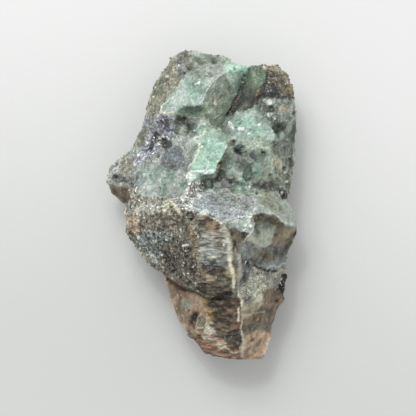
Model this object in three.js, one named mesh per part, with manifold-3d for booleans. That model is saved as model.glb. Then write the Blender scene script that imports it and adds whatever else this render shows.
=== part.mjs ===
// A raw emerald in its matrix: one broken stone of pale green beryl grown through dark mica schist.
//
// The stone lies on its back on a flat parting face. +Z is up from the table, +Y runs from the narrow
// tail to the broad head, and the origin is on the table, under the middle of the stone.
//
// It broke along planes, so it is built as it broke: each natural block of the stone is the convex
// hull of its own corners. Neighbouring blocks share corners, the crests are edges of the hulls, and
// the valleys are where two blocks run into each other. The blocks are then joined into one solid.
import * as THREE from "three";
import { ConvexGeometry } from "three/addons/geometries/ConvexGeometry.js";
import { mergeVertices } from "three/addons/utils/BufferGeometryUtils.js";
import Module from "manifold-3d";

// Driving dimensions, in millimetres.
const LENGTH = 51.8; // tail to head, along Y
const WIDTH = 31.9; // nub to ledge point, along X
const HEIGHT = 21.8; // parting face to the ledge's tip, along Z

const STONE_COLOUR = 0x7d8576; // grey-green: schist and beryl together
const STONE_ROUGHNESS = 0.75;

// The corners below are written for a stone of these sizes, and follow the driving dimensions.
const DRAWN = { length: 51.8, width: 31.9, height: 21.8 };

function at(x, y, z) {
  return new THREE.Vector3(
    (x * WIDTH) / DRAWN.width,
    (y * LENGTH) / DRAWN.length,
    (z * HEIGHT) / DRAWN.height,
  );
}

// The parting face that the stone rests on.
const base = {
  head: at(0.6, 18.7, 0),
  headRight: at(8.4, 18.1, 0),
  right: at(11.4, 10.7, 0),
  rightMiddle: at(10.8, -0.9, 0),
  rightLow: at(9.8, -11.8, 0),
  tail: at(6.1, -19.6, 0),
  tailLeft: at(1.1, -17.9, 0),
  low: at(-3.2, -10.6, 0),
  leftLow: at(-8.2, -3.4, 0),
  left: at(-9.9, 4.4, 0),
  headLeft: at(-5.6, 14.4, 0),
};

// The underside's ring of corners, just above the table.
const heel = {
  head: at(-2.2, 23.1, 3.2),
  headRight: at(10.1, 20.7, 3.2),
  shoulder: at(14.1, 13.2, 2.6),
  waist: at(12.6, 2.4, 2.6),
  ledge: at(13.8, -4.6, 3),
  side: at(12.4, -9.6, 2.4),
  sideLow: at(11.8, -16.8, 2.6),
  footRight: at(9.1, -24.3, 3),
  foot: at(3.4, -24.6, 3),
  tailLow: at(-0.6, -20.9, 2.6),
  tail: at(-3.4, -14.6, 2.4),
  blockLow: at(-6.4, -9.6, 2.6),
  block: at(-10.2, -5.1, 2.6),
  nubRoot: at(-10.6, -0.1, 2.8),
  nub: at(-12.9, 4.4, 3.6),
  left: at(-8.6, 10.7, 2.4),
  headLeft: at(-6.4, 17.9, 2.6),
};

// The widest outline, 7 to 11 mm above the table, clockwise from the head's peak.
const rim = {
  peak: at(-2.9, 25.9, 9.5),
  peakRight: at(-1.7, 25.6, 9.8),
  browLeft: at(1.5, 24.5, 9.5),
  brow: at(3.3, 24.3, 9.5),
  saddleLeft: at(5.1, 23.2, 10),
  saddle: at(7.2, 22.9, 10.6),
  saddleRight: at(9.3, 23.1, 10.5),
  knobLeft: at(10.8, 23.6, 10.2),
  knobCrown: at(12.5, 23.1, 10),
  knobTop: at(14.3, 21.8, 9.6),
  knobRight: at(15.6, 19.7, 9),
  shoulder: at(15.8, 15.1, 8.8),
  shoulderMiddle: at(15.6, 10.9, 8.8),
  shoulderLow: at(14.7, 8.2, 8.8),
  waistTop: at(14.1, 5.4, 9),
  waist: at(14.3, 1.9, 9.2),
  ledgeRise: at(14.8, -0.9, 10.5),
  ledgePoint: at(15.95, -3.3, 11),
  ledgeHeel: at(15.2, -5.6, 9.5),
  underLedge: at(13.9, -9.1, 9),
  sideNotch: at(14.2, -10.9, 8.5),
  sideHigh: at(14.1, -13.4, 8.5),
  sideMiddle: at(13.3, -15.9, 8.2),
  sideLow: at(12.2, -19.1, 8),
  tailRight: at(10.8, -22.3, 7.8),
  footRight: at(9.9, -25.7, 7.5),
  foot: at(6.3, -25.9, 7.5),
  footMiddle: at(2.2, -25.5, 7),
  footLeft: at(0.6, -25.1, 7.5),
  tailCorner: at(-0.3, -23.4, 7.5),
  tailLow: at(-1.7, -21.6, 7.2),
  tailBulge: at(-4.2, -19.3, 7),
  tailMiddle: at(-5.1, -17.3, 7),
  tailLeft: at(-5.2, -14.6, 7),
  tailTop: at(-6, -12, 7),
  blockCorner: at(-6.1, -10.8, 10),
  blockHeel: at(-8.8, -9.3, 9),
  blockLow: at(-10.6, -7.4, 8.6),
  blockBulge: at(-12.3, -4.9, 8.2),
  blockLeft: at(-12.6, -2.4, 8.2),
  blockTop: at(-12.6, -0.9, 8.4),
  nubRoot: at(-13.5, 0.3, 6.5),
  nubUnder: at(-15.1, 1.7, 7),
  nubTip: at(-15.95, 3.7, 8),
  nubLeft: at(-15.1, 6.2, 8.6),
  nubShoulder: at(-13.5, 8.2, 9),
  nubTop: at(-11.6, 9.3, 9),
  stripFoot: at(-10.2, 12.9, 8.5),
  stripLow: at(-9.3, 15.9, 8.5),
  stripMiddle: at(-8.4, 18.6, 8.5),
  stripTop: at(-6.4, 21.4, 8.5),
  peakLeft: at(-4.7, 24.3, 9),
};

// Corners inside the stone, a few millimetres under its faces, that every block overlaps.
const heart = {
  head: at(0, 21.5, 9.5),
  headRight: at(11, 20, 10),
  headLeft: at(-6.5, 15, 9),
  right: at(12.5, 10, 9.5),
  waist: at(12, 2, 10),
  side: at(11.5, -9, 10.5),
  sideLow: at(9.5, -18, 9),
  tail: at(2, -22, 8),
  tailLeft: at(-3, -16, 7.5),
  blockLeft: at(-8, -5, 9),
  left: at(-10, 4, 9),
  middle: at(3, 8, 12),
  ridge: at(2.5, -6, 16),
};

// The head's left wedge: a beryl crystal broken across, with its crest above the basin.
const wedge = {
  peak: at(-4.1, 24.1, 11.8),
  strip: at(-8.6, 12.9, 11),
  foot: at(-6.9, 15.1, 12.4),
  lip: at(-3.7, 15.6, 14.1),
  nose: at(0.1, 16.9, 15.7),
  crest: at(1.1, 19.4, 16.5),
  back: at(3.9, 22, 14.6),
  top: at(5.8, 23, 11.9),
  underFoot: at(-5.6, 13.9, 11),
  underLip: at(-2.2, 14.6, 12),
  underNose: at(0.3, 14.4, 12.2),
};

// The valley that runs down from the head's saddle, right of the wedge.
const valley = {
  top: at(7.8, 22.9, 10.8),
  high: at(6.9, 20.6, 11.3),
  middle: at(5.9, 18.7, 11.1),
  low: at(4.1, 15.2, 10.6),
  slot: at(3.4, 12.7, 10.8),
};

// The slab that closes the valley on its right.
const slab = {
  top: at(9.3, 23.1, 12.3),
  knob: at(10.8, 23.1, 12.7),
  middle: at(9.4, 18.4, 13.4),
  low: at(8.3, 15.9, 12.4),
  edge: at(5.1, 15.1, 11),
};

// The head's right knob, of schist.
const knob = {
  front: at(11.4, 21.2, 13.6),
  face: at(13.4, 20.1, 13),
  ridge: at(10.4, 17.6, 14.6),
};

// The shoulder below the knob, down to the waist.
const shoulder = {
  face: at(14.1, 16.4, 12.4),
  ridge: at(11.8, 13.7, 14.6),
  low: at(14.1, 11.7, 12),
  waistRidge: at(12.8, 8.7, 13.2),
  waistFace: at(12.8, 4.7, 12.4),
};

// The basin's broken beryl: a pale shelf that faces the head, and its dark lower side.
const basin = {
  topLeft: at(4.4, 14.4, 11.8),
  top: at(7.8, 15.6, 12.4),
  topRight: at(9.4, 17.1, 13.2),
  right: at(11.6, 13.1, 14.6),
  sill: at(11.9, 10.6, 15),
  middle: at(8.1, 9.2, 15.7),
  left: at(4.9, 9.9, 15.3),
  lowLeft: at(3.8, 4.4, 14.4),
  low: at(8.1, 2.6, 13.6),
  lowRight: at(12.4, 2.2, 12.4),
};

// The brightest beryl face, in the middle.
const mint = {
  topLeft: at(-1.1, 12.7, 12.9),
  top: at(0.4, 13.9, 13),
  topRight: at(3.3, 12.4, 13.5),
  right: at(4.6, 10.1, 14.8),
  rightLow: at(3.3, 7.2, 16),
  low: at(1.9, 4.7, 16.2),
  lowLeft: at(-1.7, 5.6, 16.1),
  left: at(-0.9, 9.7, 14.6),
};

// The grey-green mass left of it.
const mass = {
  shoulder: at(-8.9, 10.6, 11.4),
  top: at(-5.6, 11.7, 11.6),
  crown: at(-2.6, 13.1, 12.6),
  right: at(-1.4, 9.1, 14.5),
  low: at(-0.7, 5.1, 15.8),
  sill: at(-2.2, 1.2, 16.8),
  left: at(-8.2, 1.2, 13.8),
  corner: at(-11.7, 0.6, 11.2),
  groove: at(-11.4, 6.9, 11.2),
};

// The nub that stands out on the left.
const nub = {
  brow: at(-12.6, 7.4, 11.4),
  face: at(-14.1, 4.4, 10.8),
  cheek: at(-11.4, 4.9, 11.4),
  chin: at(-13.1, 2.9, 10.4),
  seat: at(-12.1, 0.7, 9.6),
};

// The ledge: a silvery face that slopes from the basin up to the stone's highest edge.
const ledge = {
  backLeft: at(-3.6, 1.4, 15.8),
  back: at(1.8, 2.6, 15.4),
  backMiddle: at(5.8, 2.7, 15),
  backRight: at(10.4, 2.4, 14),
  end: at(14.1, 1.2, 11.2),
  left: at(-1.6, -0.4, 19.2),
  front: at(0.8, -1.4, 20.6),
  tip: at(3.3, -2.9, 21.8),
  stub: at(5.9, -1.9, 21),
  notch: at(8.3, -1.4, 20.2),
  brow: at(10.1, -1.1, 19.4),
  fall: at(12.1, -1.8, 17.4),
  underEnd: at(13.8, -2.8, 14.8),
};

// A short broken crystal that stands out from under the ledge.
const stub = {
  left: at(4.3, -2.1, 21.3),
  top: at(6.1, -1.9, 21.2),
  right: at(8.3, -1.9, 20.6),
  edge: at(8.6, -3.1, 20),
  lowRight: at(7.9, -4.4, 18.8),
  low: at(6.4, -4.3, 19.6),
  lowLeft: at(4.4, -3.6, 20.6),
};

// The flank below the ledge, right of the ridge.
const flank = {
  oliveTop: at(8.8, -3.1, 17.2),
  oliveRight: at(13.4, -3.3, 13.6),
  olive: at(10.1, -6.9, 15.4),
  right: at(14.4, -6.4, 10.6),
  grey: at(7.8, -9.6, 16),
  low: at(9.4, -14.3, 14.4),
};

// The mica block below the ledge, left of the ridge. Its lower end overhangs the tail.
const block = {
  crestLeft: at(-11.7, -1.8, 11.2),
  crest: at(-8.6, -1.3, 14.6),
  crestRight: at(-4.7, -0.3, 17.4),
  ridgeTop: at(3.6, -3.4, 21.7),
  ridgeHigh: at(4.1, -5.3, 21.7),
  ridge: at(4.4, -7.9, 21.4),
  ridgeLow: at(4.9, -10.6, 20.6),
  toe: at(5.4, -14.1, 19),
  sole: at(1.1, -15.4, 17),
  soleLeft: at(-0.6, -14.3, 16),
  soleFar: at(-3.6, -12.8, 13.8),
  breakTop: at(-1.4, -2.9, 19.4),
  breakMiddle: at(-1.6, -7.6, 18.8),
  breakLow: at(-1.9, -12.6, 16.4),
};

// The tail, with the ridge running down it.
const tail = {
  crestTop: at(5.1, -10.9, 19.4),
  crest: at(6.4, -16.1, 17),
  crestMiddle: at(6.8, -20.1, 15),
  crestLow: at(6.9, -23.4, 12.6),
  nose: at(6.4, -25.4, 10.2),
  fold: at(-0.6, -14.6, 13.4),
  foldHigh: at(0.6, -16.3, 13.8),
  foldMiddle: at(1.3, -18.3, 13.4),
  foldLow: at(1.1, -20.4, 12.2),
  foldFoot: at(0.4, -23.4, 9.8),
  rightTop: at(10.1, -9.6, 15.4),
  rightHigh: at(10.8, -13.4, 14.2),
  rightMiddle: at(10.1, -17.6, 13),
  rightLow: at(8.9, -22.6, 10.6),
};

// Each block's corners. Blocks reach down to the heel ring, so that they are sunk in the core.
const blocks = {
  core: [...Object.values(base), ...Object.values(heel), ...Object.values(heart)],
  wedge: [
    rim.stripFoot, rim.stripLow, rim.stripMiddle, rim.stripTop, rim.peakLeft, rim.peak,
    rim.peakRight, rim.browLeft, rim.brow, rim.saddleLeft,
    ...Object.values(wedge), ...Object.values(valley),
    heel.left, heel.headLeft, heel.head, base.headRight, base.left,
  ],
  slab: [
    rim.saddleLeft, rim.saddle, rim.saddleRight, rim.knobLeft,
    ...Object.values(slab), ...Object.values(valley),
    heel.head, heel.headRight, base.right,
  ],
  knob: [
    rim.saddleRight, rim.knobLeft, rim.knobCrown, rim.knobTop, rim.knobRight, rim.shoulder,
    ...Object.values(knob), shoulder.face, shoulder.ridge,
    heel.headRight, heel.shoulder, base.headRight, base.right,
  ],
  shoulder: [
    rim.shoulder, rim.shoulderMiddle, rim.shoulderLow, rim.waistTop,
    ...Object.values(shoulder),
    heel.shoulder, heel.waist, base.right,
  ],
  waist: [
    rim.waistTop, rim.waist, rim.shoulderLow,
    shoulder.waistRidge, shoulder.waistFace, basin.lowRight, ledge.end,
    heel.waist, heel.ledge, base.rightMiddle,
  ],
  basin: [...Object.values(basin), base.right, base.rightMiddle, base.headRight],
  mint: [...Object.values(mint), base.left, base.right],
  mass: [
    rim.nubTop, rim.stripFoot,
    ...Object.values(mass),
    heel.left, heel.nubRoot, base.right,
  ],
  nub: [
    rim.nubRoot, rim.nubUnder, rim.nubTip, rim.nubLeft, rim.nubShoulder, rim.nubTop,
    ...Object.values(nub),
    heel.nub, heel.left, heel.nubRoot,
  ],
  ledge: [
    rim.waist, rim.ledgeRise, rim.ledgePoint,
    ...Object.values(ledge),
    heel.ledge, base.left, base.low,
  ],
  stub: [...Object.values(stub), heart.ridge],
  flank: [
    rim.ledgePoint, rim.ledgeHeel, rim.underLedge,
    flank.oliveTop, flank.oliveRight, flank.olive, flank.right, flank.grey,
    block.ridgeHigh, block.ridge, block.ridgeLow,
    heel.ledge, base.rightMiddle, base.low,
  ],
  side: [
    rim.underLedge, rim.sideNotch, rim.sideHigh,
    flank.olive, flank.grey, flank.low, block.ridge, block.ridgeLow, block.toe,
    heel.side, base.rightMiddle, base.low,
  ],
  mica_block: [
    rim.blockTop, rim.blockLeft, rim.blockBulge, rim.blockLow, rim.blockHeel, rim.blockCorner,
    mass.corner, mass.left, ledge.left, ledge.front, ledge.tip,
    ...Object.values(block),
    heel.nubRoot, heel.block, heel.blockLow, base.rightMiddle,
  ],
  tail: [
    rim.tailTop, rim.tailLeft, rim.tailMiddle, rim.tailBulge, rim.tailLow, rim.tailCorner,
    rim.footLeft, rim.footMiddle, rim.foot, rim.footRight, rim.tailRight, rim.sideLow,
    rim.sideMiddle, rim.sideHigh, rim.sideNotch,
    ...Object.values(tail),
    heel.blockLow, heel.tail, heel.tailLow, heel.foot, heel.footRight, heel.sideLow, heel.side,
  ],
};

const wasm = await Module();
wasm.setup();

// The convex hull of some corners, as a solid that can be joined.
function hullOf(corners) {
  const hull = new ConvexGeometry(corners);
  hull.deleteAttribute("normal");
  const closed = mergeVertices(hull, 1e-4);
  return new wasm.Manifold(
    new wasm.Mesh({
      numProp: 3,
      vertProperties: closed.attributes.position.array,
      triVerts: new Uint32Array(closed.index.array),
    }),
  );
}

// The solids joined into one, without any gap that the blocks close off between them.
function joined(solids) {
  const whole = solids.reduce((sum, next) => sum.add(next));
  return whole.decompose().reduce((a, b) => (b.volume() > a.volume() ? b : a));
}

// A solid as a geometry that three.js can draw.
function geometryOf(solid) {
  const mesh = solid.getMesh();
  return new THREE.BufferGeometry()
    .setAttribute("position", new THREE.BufferAttribute(mesh.vertProperties, 3))
    .setIndex(new THREE.BufferAttribute(mesh.triVerts, 1));
}

const stone = new THREE.Mesh(
  geometryOf(joined(Object.values(blocks).map(hullOf))),
  new THREE.MeshStandardMaterial({
    color: STONE_COLOUR,
    roughness: STONE_ROUGHNESS,
    metalness: 0,
    flatShading: true,
  }),
);
stone.name = "raw_emerald";

const group = new THREE.Group();
group.add(stone);

export default group;
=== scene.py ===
# %% [markdown]
# # A raw emerald in its matrix
#
# The object is one broken stone, about 52 mm long: pale green, cloudy beryl that grew through dark,
# glittering mica schist. It lies on its back on a flat parting face. This lesson starts from the
# stone's plain faceted solid and gives it the surface of the real thing: grains, chipped facets,
# split layers, veins and stains, and loose flakes of mica that still cling to it.
#
# First the frame is loaded. It holds the faceted solid at its real place and size, in metres. All
# the shaping below is worked out in millimetres, because the grains of a stone are.

# %% Load the faceted solid
import itertools

import bmesh
import bpy
import numpy as np
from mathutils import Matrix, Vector


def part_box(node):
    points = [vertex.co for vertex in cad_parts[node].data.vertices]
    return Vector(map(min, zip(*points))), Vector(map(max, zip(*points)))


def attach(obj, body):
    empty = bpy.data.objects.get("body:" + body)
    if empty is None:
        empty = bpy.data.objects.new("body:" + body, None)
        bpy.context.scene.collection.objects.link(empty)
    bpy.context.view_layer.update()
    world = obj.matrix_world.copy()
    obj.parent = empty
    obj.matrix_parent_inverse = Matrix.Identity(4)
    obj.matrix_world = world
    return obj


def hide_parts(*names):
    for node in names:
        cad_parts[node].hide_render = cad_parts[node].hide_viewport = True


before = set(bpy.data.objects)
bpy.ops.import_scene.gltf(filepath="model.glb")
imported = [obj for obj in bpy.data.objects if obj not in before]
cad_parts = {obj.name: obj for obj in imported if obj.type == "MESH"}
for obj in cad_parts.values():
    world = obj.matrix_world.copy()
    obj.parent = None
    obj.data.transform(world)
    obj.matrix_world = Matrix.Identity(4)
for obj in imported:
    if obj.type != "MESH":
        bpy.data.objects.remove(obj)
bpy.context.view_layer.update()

MM = 0.001
NODE = "raw_emerald"
lowest, highest = (np.array(corner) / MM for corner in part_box(NODE))
print("the solid is", np.round(highest - lowest, 1), "mm")

# %% [markdown]
# ## Camera
#
# The stone is seen from straight above, its narrow tail towards the viewer. A long lens from half a
# metre away keeps the outline true: near and far parts of so small a thing then have one scale. The
# picture is 69 mm wide at the height of the stone's widest outline, and the stone sits a little left
# of its middle.

# %% Camera
FIELD = 69.3  # mm of the stone's plane that the picture is wide
FIELD_HEIGHT = 9.0  # mm above the table, where the outline is widest
AIM = (1.1, -0.6)  # mm from the stone's middle
LENS = 250.0  # mm
CLIP = (0.01, 10)  # m, the nearest and the farthest that it sees


def look_down():
    """The camera's distance is to the field's width what the lens is to the sensor's width."""
    camera = bpy.data.objects.new("camera", bpy.data.cameras.new("camera"))
    camera.data.lens = LENS
    away = FIELD * LENS / camera.data.sensor_width
    camera.location = Vector((*AIM, FIELD_HEIGHT + away)) * MM
    camera.data.clip_start, camera.data.clip_end = CLIP
    bpy.context.scene.collection.objects.link(camera)
    bpy.context.scene.camera = camera
    print("the camera is", round(camera.location.z, 3), "m up")


look_down()

# %% [markdown]
# ## Light
#
# Soft daylight falls from beyond the head, a little from the left, so faces that look that way are
# bright and the flanks under the ledge are dark. One large square lamp gives it, and a pale sky fills
# the shadows. Mica only glitters in a small, bright light, so a second lamp, one seventh as wide,
# stands in front of the first. The lamps themselves are kept out of the picture.

# %% Lamps and sky
KEY_PLACE = (-0.14, 0.36, 0.52)  # m
KEY_SIZE = 0.36  # m
KEY_POWER = 1.9  # W
GLINT_PLACE = (-0.10, 0.30, 0.56)  # m
GLINT_SIZE = 0.05  # m
GLINT_POWER = 0.30  # W
SKY_COLOUR = (1.0, 1.0, 1.0)
SKY_STRENGTH = 0.68


def square_lamp(name, place, size, power):
    """A square lamp that faces the stone."""
    lamp = bpy.data.lights.new(name, "AREA")
    lamp.energy = power
    lamp.size = size
    window = bpy.data.objects.new(name, lamp)
    window.location = place
    window.rotation_euler = (-Vector(place)).to_track_quat("-Z", "Y").to_euler()
    window.visible_camera = False
    bpy.context.scene.collection.objects.link(window)


def sky():
    """An even, pale sky."""
    world = bpy.data.worlds.new("sky")
    world.use_nodes = True
    background = world.node_tree.nodes["Background"]
    background.inputs["Color"].default_value = (*SKY_COLOUR, 1)
    background.inputs["Strength"].default_value = SKY_STRENGTH
    bpy.context.scene.world = world


square_lamp("window", KEY_PLACE, KEY_SIZE, KEY_POWER)
square_lamp("glint", GLINT_PLACE, GLINT_SIZE, GLINT_POWER)
sky()
bpy.context.scene.view_settings.view_transform = "Standard"
print("the window is", round(Vector(KEY_PLACE).length, 2), "m from the stone")

# %% [markdown]
# ## Randomness that repeats
#
# Stone is irregular, but a script must give the same stone each time. So chance comes from a hash: the
# whole-number corners of a lattice are scrambled into numbers from 0 to 1. Everything is done on
# whole arrays of points at once, because the skin has a hundred thousand of them.


# %% Noise on whole arrays
ODD = np.array([73856093, 19349663, 83492791], np.uint64)  # large and odd, one for each axis
ODD_SEED = 2654435761
STIR = np.uint64(2246822519)
WORD = 2**32  # the numbers are kept below this
OCTAVE = 0.55  # the height of an octave against the one before


def scramble(corners, seed):
    """A repeatable number from 0 to 1 for each row of whole numbers: the row and the seed are
    multiplied by large odd numbers and mixed by exclusive or. Then, twice, the upper bits are mixed
    into the lower ones and the whole is multiplied again."""
    whole = corners.astype(np.int64).view(np.uint64) * ODD
    mixed = whole[:, 0] ^ whole[:, 1] ^ whole[:, 2] ^ np.uint64(seed * ODD_SEED % WORD)
    for _ in range(2):
        mixed = (mixed ^ (mixed >> np.uint64(15))) * STIR % np.uint64(WORD)
    return mixed / WORD


def smooth_noise(points, size, seed):
    """Noise from -1 to 1 whose lumps are about `size` mm: scrambled numbers at the corners of cubes,
    blended across each cube by a curve that is flat at both ends."""
    scaled = points / size
    corner = np.floor(scaled)
    part = scaled - corner
    ease = part * part * part * (part * (part * 6 - 15) + 10)
    total = 0
    for step in itertools.product((0, 1), repeat=3):
        share = np.prod(np.where(step, ease, 1 - ease), axis=1)
        total = total + share * scramble(corner + step, seed)
    return 2 * total - 1


def layered_noise(points, size, seed, octaves=3):
    """Smooth noise plus finer noise: each octave has half the size and about half the height."""
    total, height = 0, 1.0
    for octave in range(octaves):
        total = total + height * smooth_noise(points, size / 2**octave, seed + octave)
        height *= OCTAVE
    return total


heights = layered_noise(np.linspace(lowest, highest, 1000), 2.0, 0)
print("layered noise runs from", heights.min().round(2), "to", heights.max().round(2))

# %% [markdown]
# ## Grains and broken faces
#
# Smooth noise alone would look like wax, because stone breaks from grain to grain. So space is also
# filled with grains: each point belongs to the nearest of many scattered centres. Where the noise is
# held plane inside each grain, a smooth hump turns into the small flat faces of a fresh break.


# %% Grains and facets
def three_numbers(corners, seed):
    """Three scrambled numbers for each row."""
    return np.stack([scramble(corners, seed + axis) for axis in range(3)], axis=1)


def nearest_grain(points, size, seed):
    """Space filled with grains about `size` mm across, one centre in each cube. For each point it
    gives the way from the nearest centre, three numbers that belong to that grain, and how far the
    point is from the grain's border, by comparing the 27 cubes around the point."""
    scaled = points / size
    home = np.floor(scaled)
    best = np.full(len(points), np.inf)
    second = best.copy()
    way = np.zeros_like(scaled)
    grain = np.zeros_like(scaled)
    for step in itertools.product((-1, 0, 1), repeat=3):
        cube = home + step
        towards = scaled - cube - three_numbers(cube, seed)
        gap = (towards**2).sum(axis=1)
        closer = gap < best
        second = np.where(closer, best, np.minimum(second, gap))
        best = np.where(closer, gap, best)
        way = np.where(closer[:, None], towards, way)
        grain = np.where(closer[:, None], cube, grain)
    border = (np.sqrt(second) - np.sqrt(best)) * size
    return way * size, three_numbers(grain, seed + 3), border


def facets(points, size, cell, seed):
    """Smooth noise broken into flat faces: in each grain about `cell` mm across the noise is replaced
    by its tangent plane at the grain's centre, which is its height there plus its slope times the
    way from the centre."""
    way, _, _ = nearest_grain(points, cell, seed)
    centre = points - way
    height = smooth_noise(centre, size, seed + 7)
    total = height.copy()
    short = 0.05 * size  # the step over which the slope is measured
    for axis in range(3):
        slope = (smooth_noise(centre + short * np.eye(3)[axis], size, seed + 7) - height) / short
        total += slope * way[:, axis]
    return total


def rise(values, low, high):
    """0 below `low`, 1 above `high`, and a smooth step between."""
    part = np.clip((values - low) / (high - low), 0, 1)
    return part * part * (3 - 2 * part)


_, _, border = nearest_grain(np.linspace(lowest, highest, 1000), 1.0, 0)
print("in grains of 1 mm the border is on average", border.mean().round(2), "mm away")

# %% [markdown]
# ## The stone's skin
#
# The faceted solid has some seven hundred large triangles. Its copy is first merged, because its
# triangles are loose, and then a voxel remesh covers it with even squares of about a quarter of a
# millimetre, fine enough to carve grains into.
#
# Where two blocks of the solid meet they leave narrow slits, and real matrix fills those. So the skin
# is first swollen by a little, meshed anew, which joins what touches, and then drawn back by as much.

# %% A finely meshed copy of the solid
SKIN_STEP = 0.239  # mm, the side of one square of the skin
ROUGH_STEP = 1.3 * SKIN_STEP  # mm, the same for the copy that is swollen
SWELL = 0.40  # mm: slits narrower than twice this are filled
TOUCHING = 1e-6  # m within which two corners are one


def linked(name, mesh):
    """An object at the origin that shows the mesh."""
    piece = bpy.data.objects.new(name, mesh)
    bpy.context.scene.collection.objects.link(piece)
    return piece


def points_of(mesh):
    """The mesh's vertices in mm, as rows."""
    flat = np.empty(len(mesh.vertices) * 3)
    mesh.vertices.foreach_get("co", flat)
    return flat.reshape(-1, 3) / MM


def move_points(mesh, points):
    """Puts the vertices at these points, given in mm."""
    mesh.vertices.foreach_set("co", (points * MM).ravel())
    mesh.update()


def outward(mesh):
    """The directions that the vertices face, as rows."""
    flat = np.empty(len(mesh.vertices) * 3)
    mesh.vertex_normals.foreach_get("vector", flat)
    return flat.reshape(-1, 3)


def swell(mesh, amount):
    """Moves every vertex outward by this many mm."""
    move_points(mesh, points_of(mesh) + amount * outward(mesh))


def even_squares(mesh, step):
    """The same shape covered anew with even squares."""
    piece = linked("rough", mesh)
    remesh = piece.modifiers.new("even squares", "REMESH")
    remesh.mode = "VOXEL"
    remesh.voxel_size = step * MM
    remesh.adaptivity = 0
    made = bpy.data.meshes.new_from_object(piece.evaluated_get(bpy.context.evaluated_depsgraph_get()))
    bpy.data.objects.remove(piece)
    return made


def fine_copy():
    """The solid's copy, merged, then swollen between two remeshes and drawn back."""
    rough = bpy.data.meshes.new("rough")
    solid = bmesh.new()
    solid.from_mesh(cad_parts[NODE].data)
    bmesh.ops.remove_doubles(solid, verts=solid.verts, dist=TOUCHING)
    solid.to_mesh(rough)
    solid.free()
    swollen = even_squares(rough, ROUGH_STEP)
    swell(swollen, SWELL)
    fine = even_squares(swollen, SKIN_STEP)
    swell(fine, -SWELL)
    fine.name = "emerald_stone"
    return fine


stone = linked("emerald_stone", fine_copy())
skin = points_of(stone.data)
print("the skin has", len(skin), "vertices and", 2 * len(stone.data.polygons), "triangles")
print("it spans", np.round(np.ptp(skin, axis=0), 2), "mm")

# %% [markdown]
# ## The colours of the rock
#
# The whole stone is painted with a short chart of natural tints: the greens of beryl, from frosted
# mint to bottle, the greys of schist and mica, and the browns of stained parting faces. Every mark
# below names a dark and a light tint from this chart, so the stone's colours can be changed in one
# place. The codes are what a screen shows, and are turned into the light that the stone sends back.

# %% A chart of tints
TINTS = {
    "white": "eef0ea", "frost": "d2dfd6", "mint": "add0bd", "sea": "92b3a1", "jade": "7b9484",
    "leaf": "638c65", "sage": "98a595", "moss": "6d7865", "bottle": "4a594f", "olive": "7f7d56",
    "silver": "b5bcb8", "ash": "909690", "slate": "6b6f6b", "lead": "4a4c48", "soot": "282922",
    "steel": "8c9498", "lilac": "a7a9b0", "plum": "606067", "cream": "dad6bd", "bone": "b8b5a2",
    "sand": "a1967d", "khaki": "817a63", "umber": "605748", "bark": "40382f", "rust": "956547",
    "ochre": "a88c54", "rose": "9a8670", "clay": "9c7c63", "brick": "7a5e4c",
}


def daylight(code):
    """A screen's numbers as amounts of light, which rise by a power of 2.4 above a short line."""
    screen = np.array([int(code[i : i + 2], 16) for i in (0, 2, 4)]) / 255
    return np.where(screen < 0.04045, screen / 12.92, ((screen + 0.055) / 1.055) ** 2.4)


LIGHT = {name: daylight(code) for name, code in TINTS.items()}
print(len(LIGHT), "tints")

# %% [markdown]
# ## A map of the stone
#
# Geologists draw what they see before they explain it, and so does this lesson: the seen face is a
# map of patches. Each has a name, the kind of surface that it breaks with, the tints of its dark and
# its light grains, how bright it is against the chart, and an outline in millimetres on the table's
# plane. Patches that come later lie over earlier ones. The kinds are few:
#
# - `beryl`: cloudy green crystal, glassy on the break;
# - `schist`: speckled matrix;
# - `mica`: the glittering, coarse-grained faces;
# - `layers`: schist seen on the edges of its sheets;
# - `film`: smooth, stained parting faces.

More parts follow.
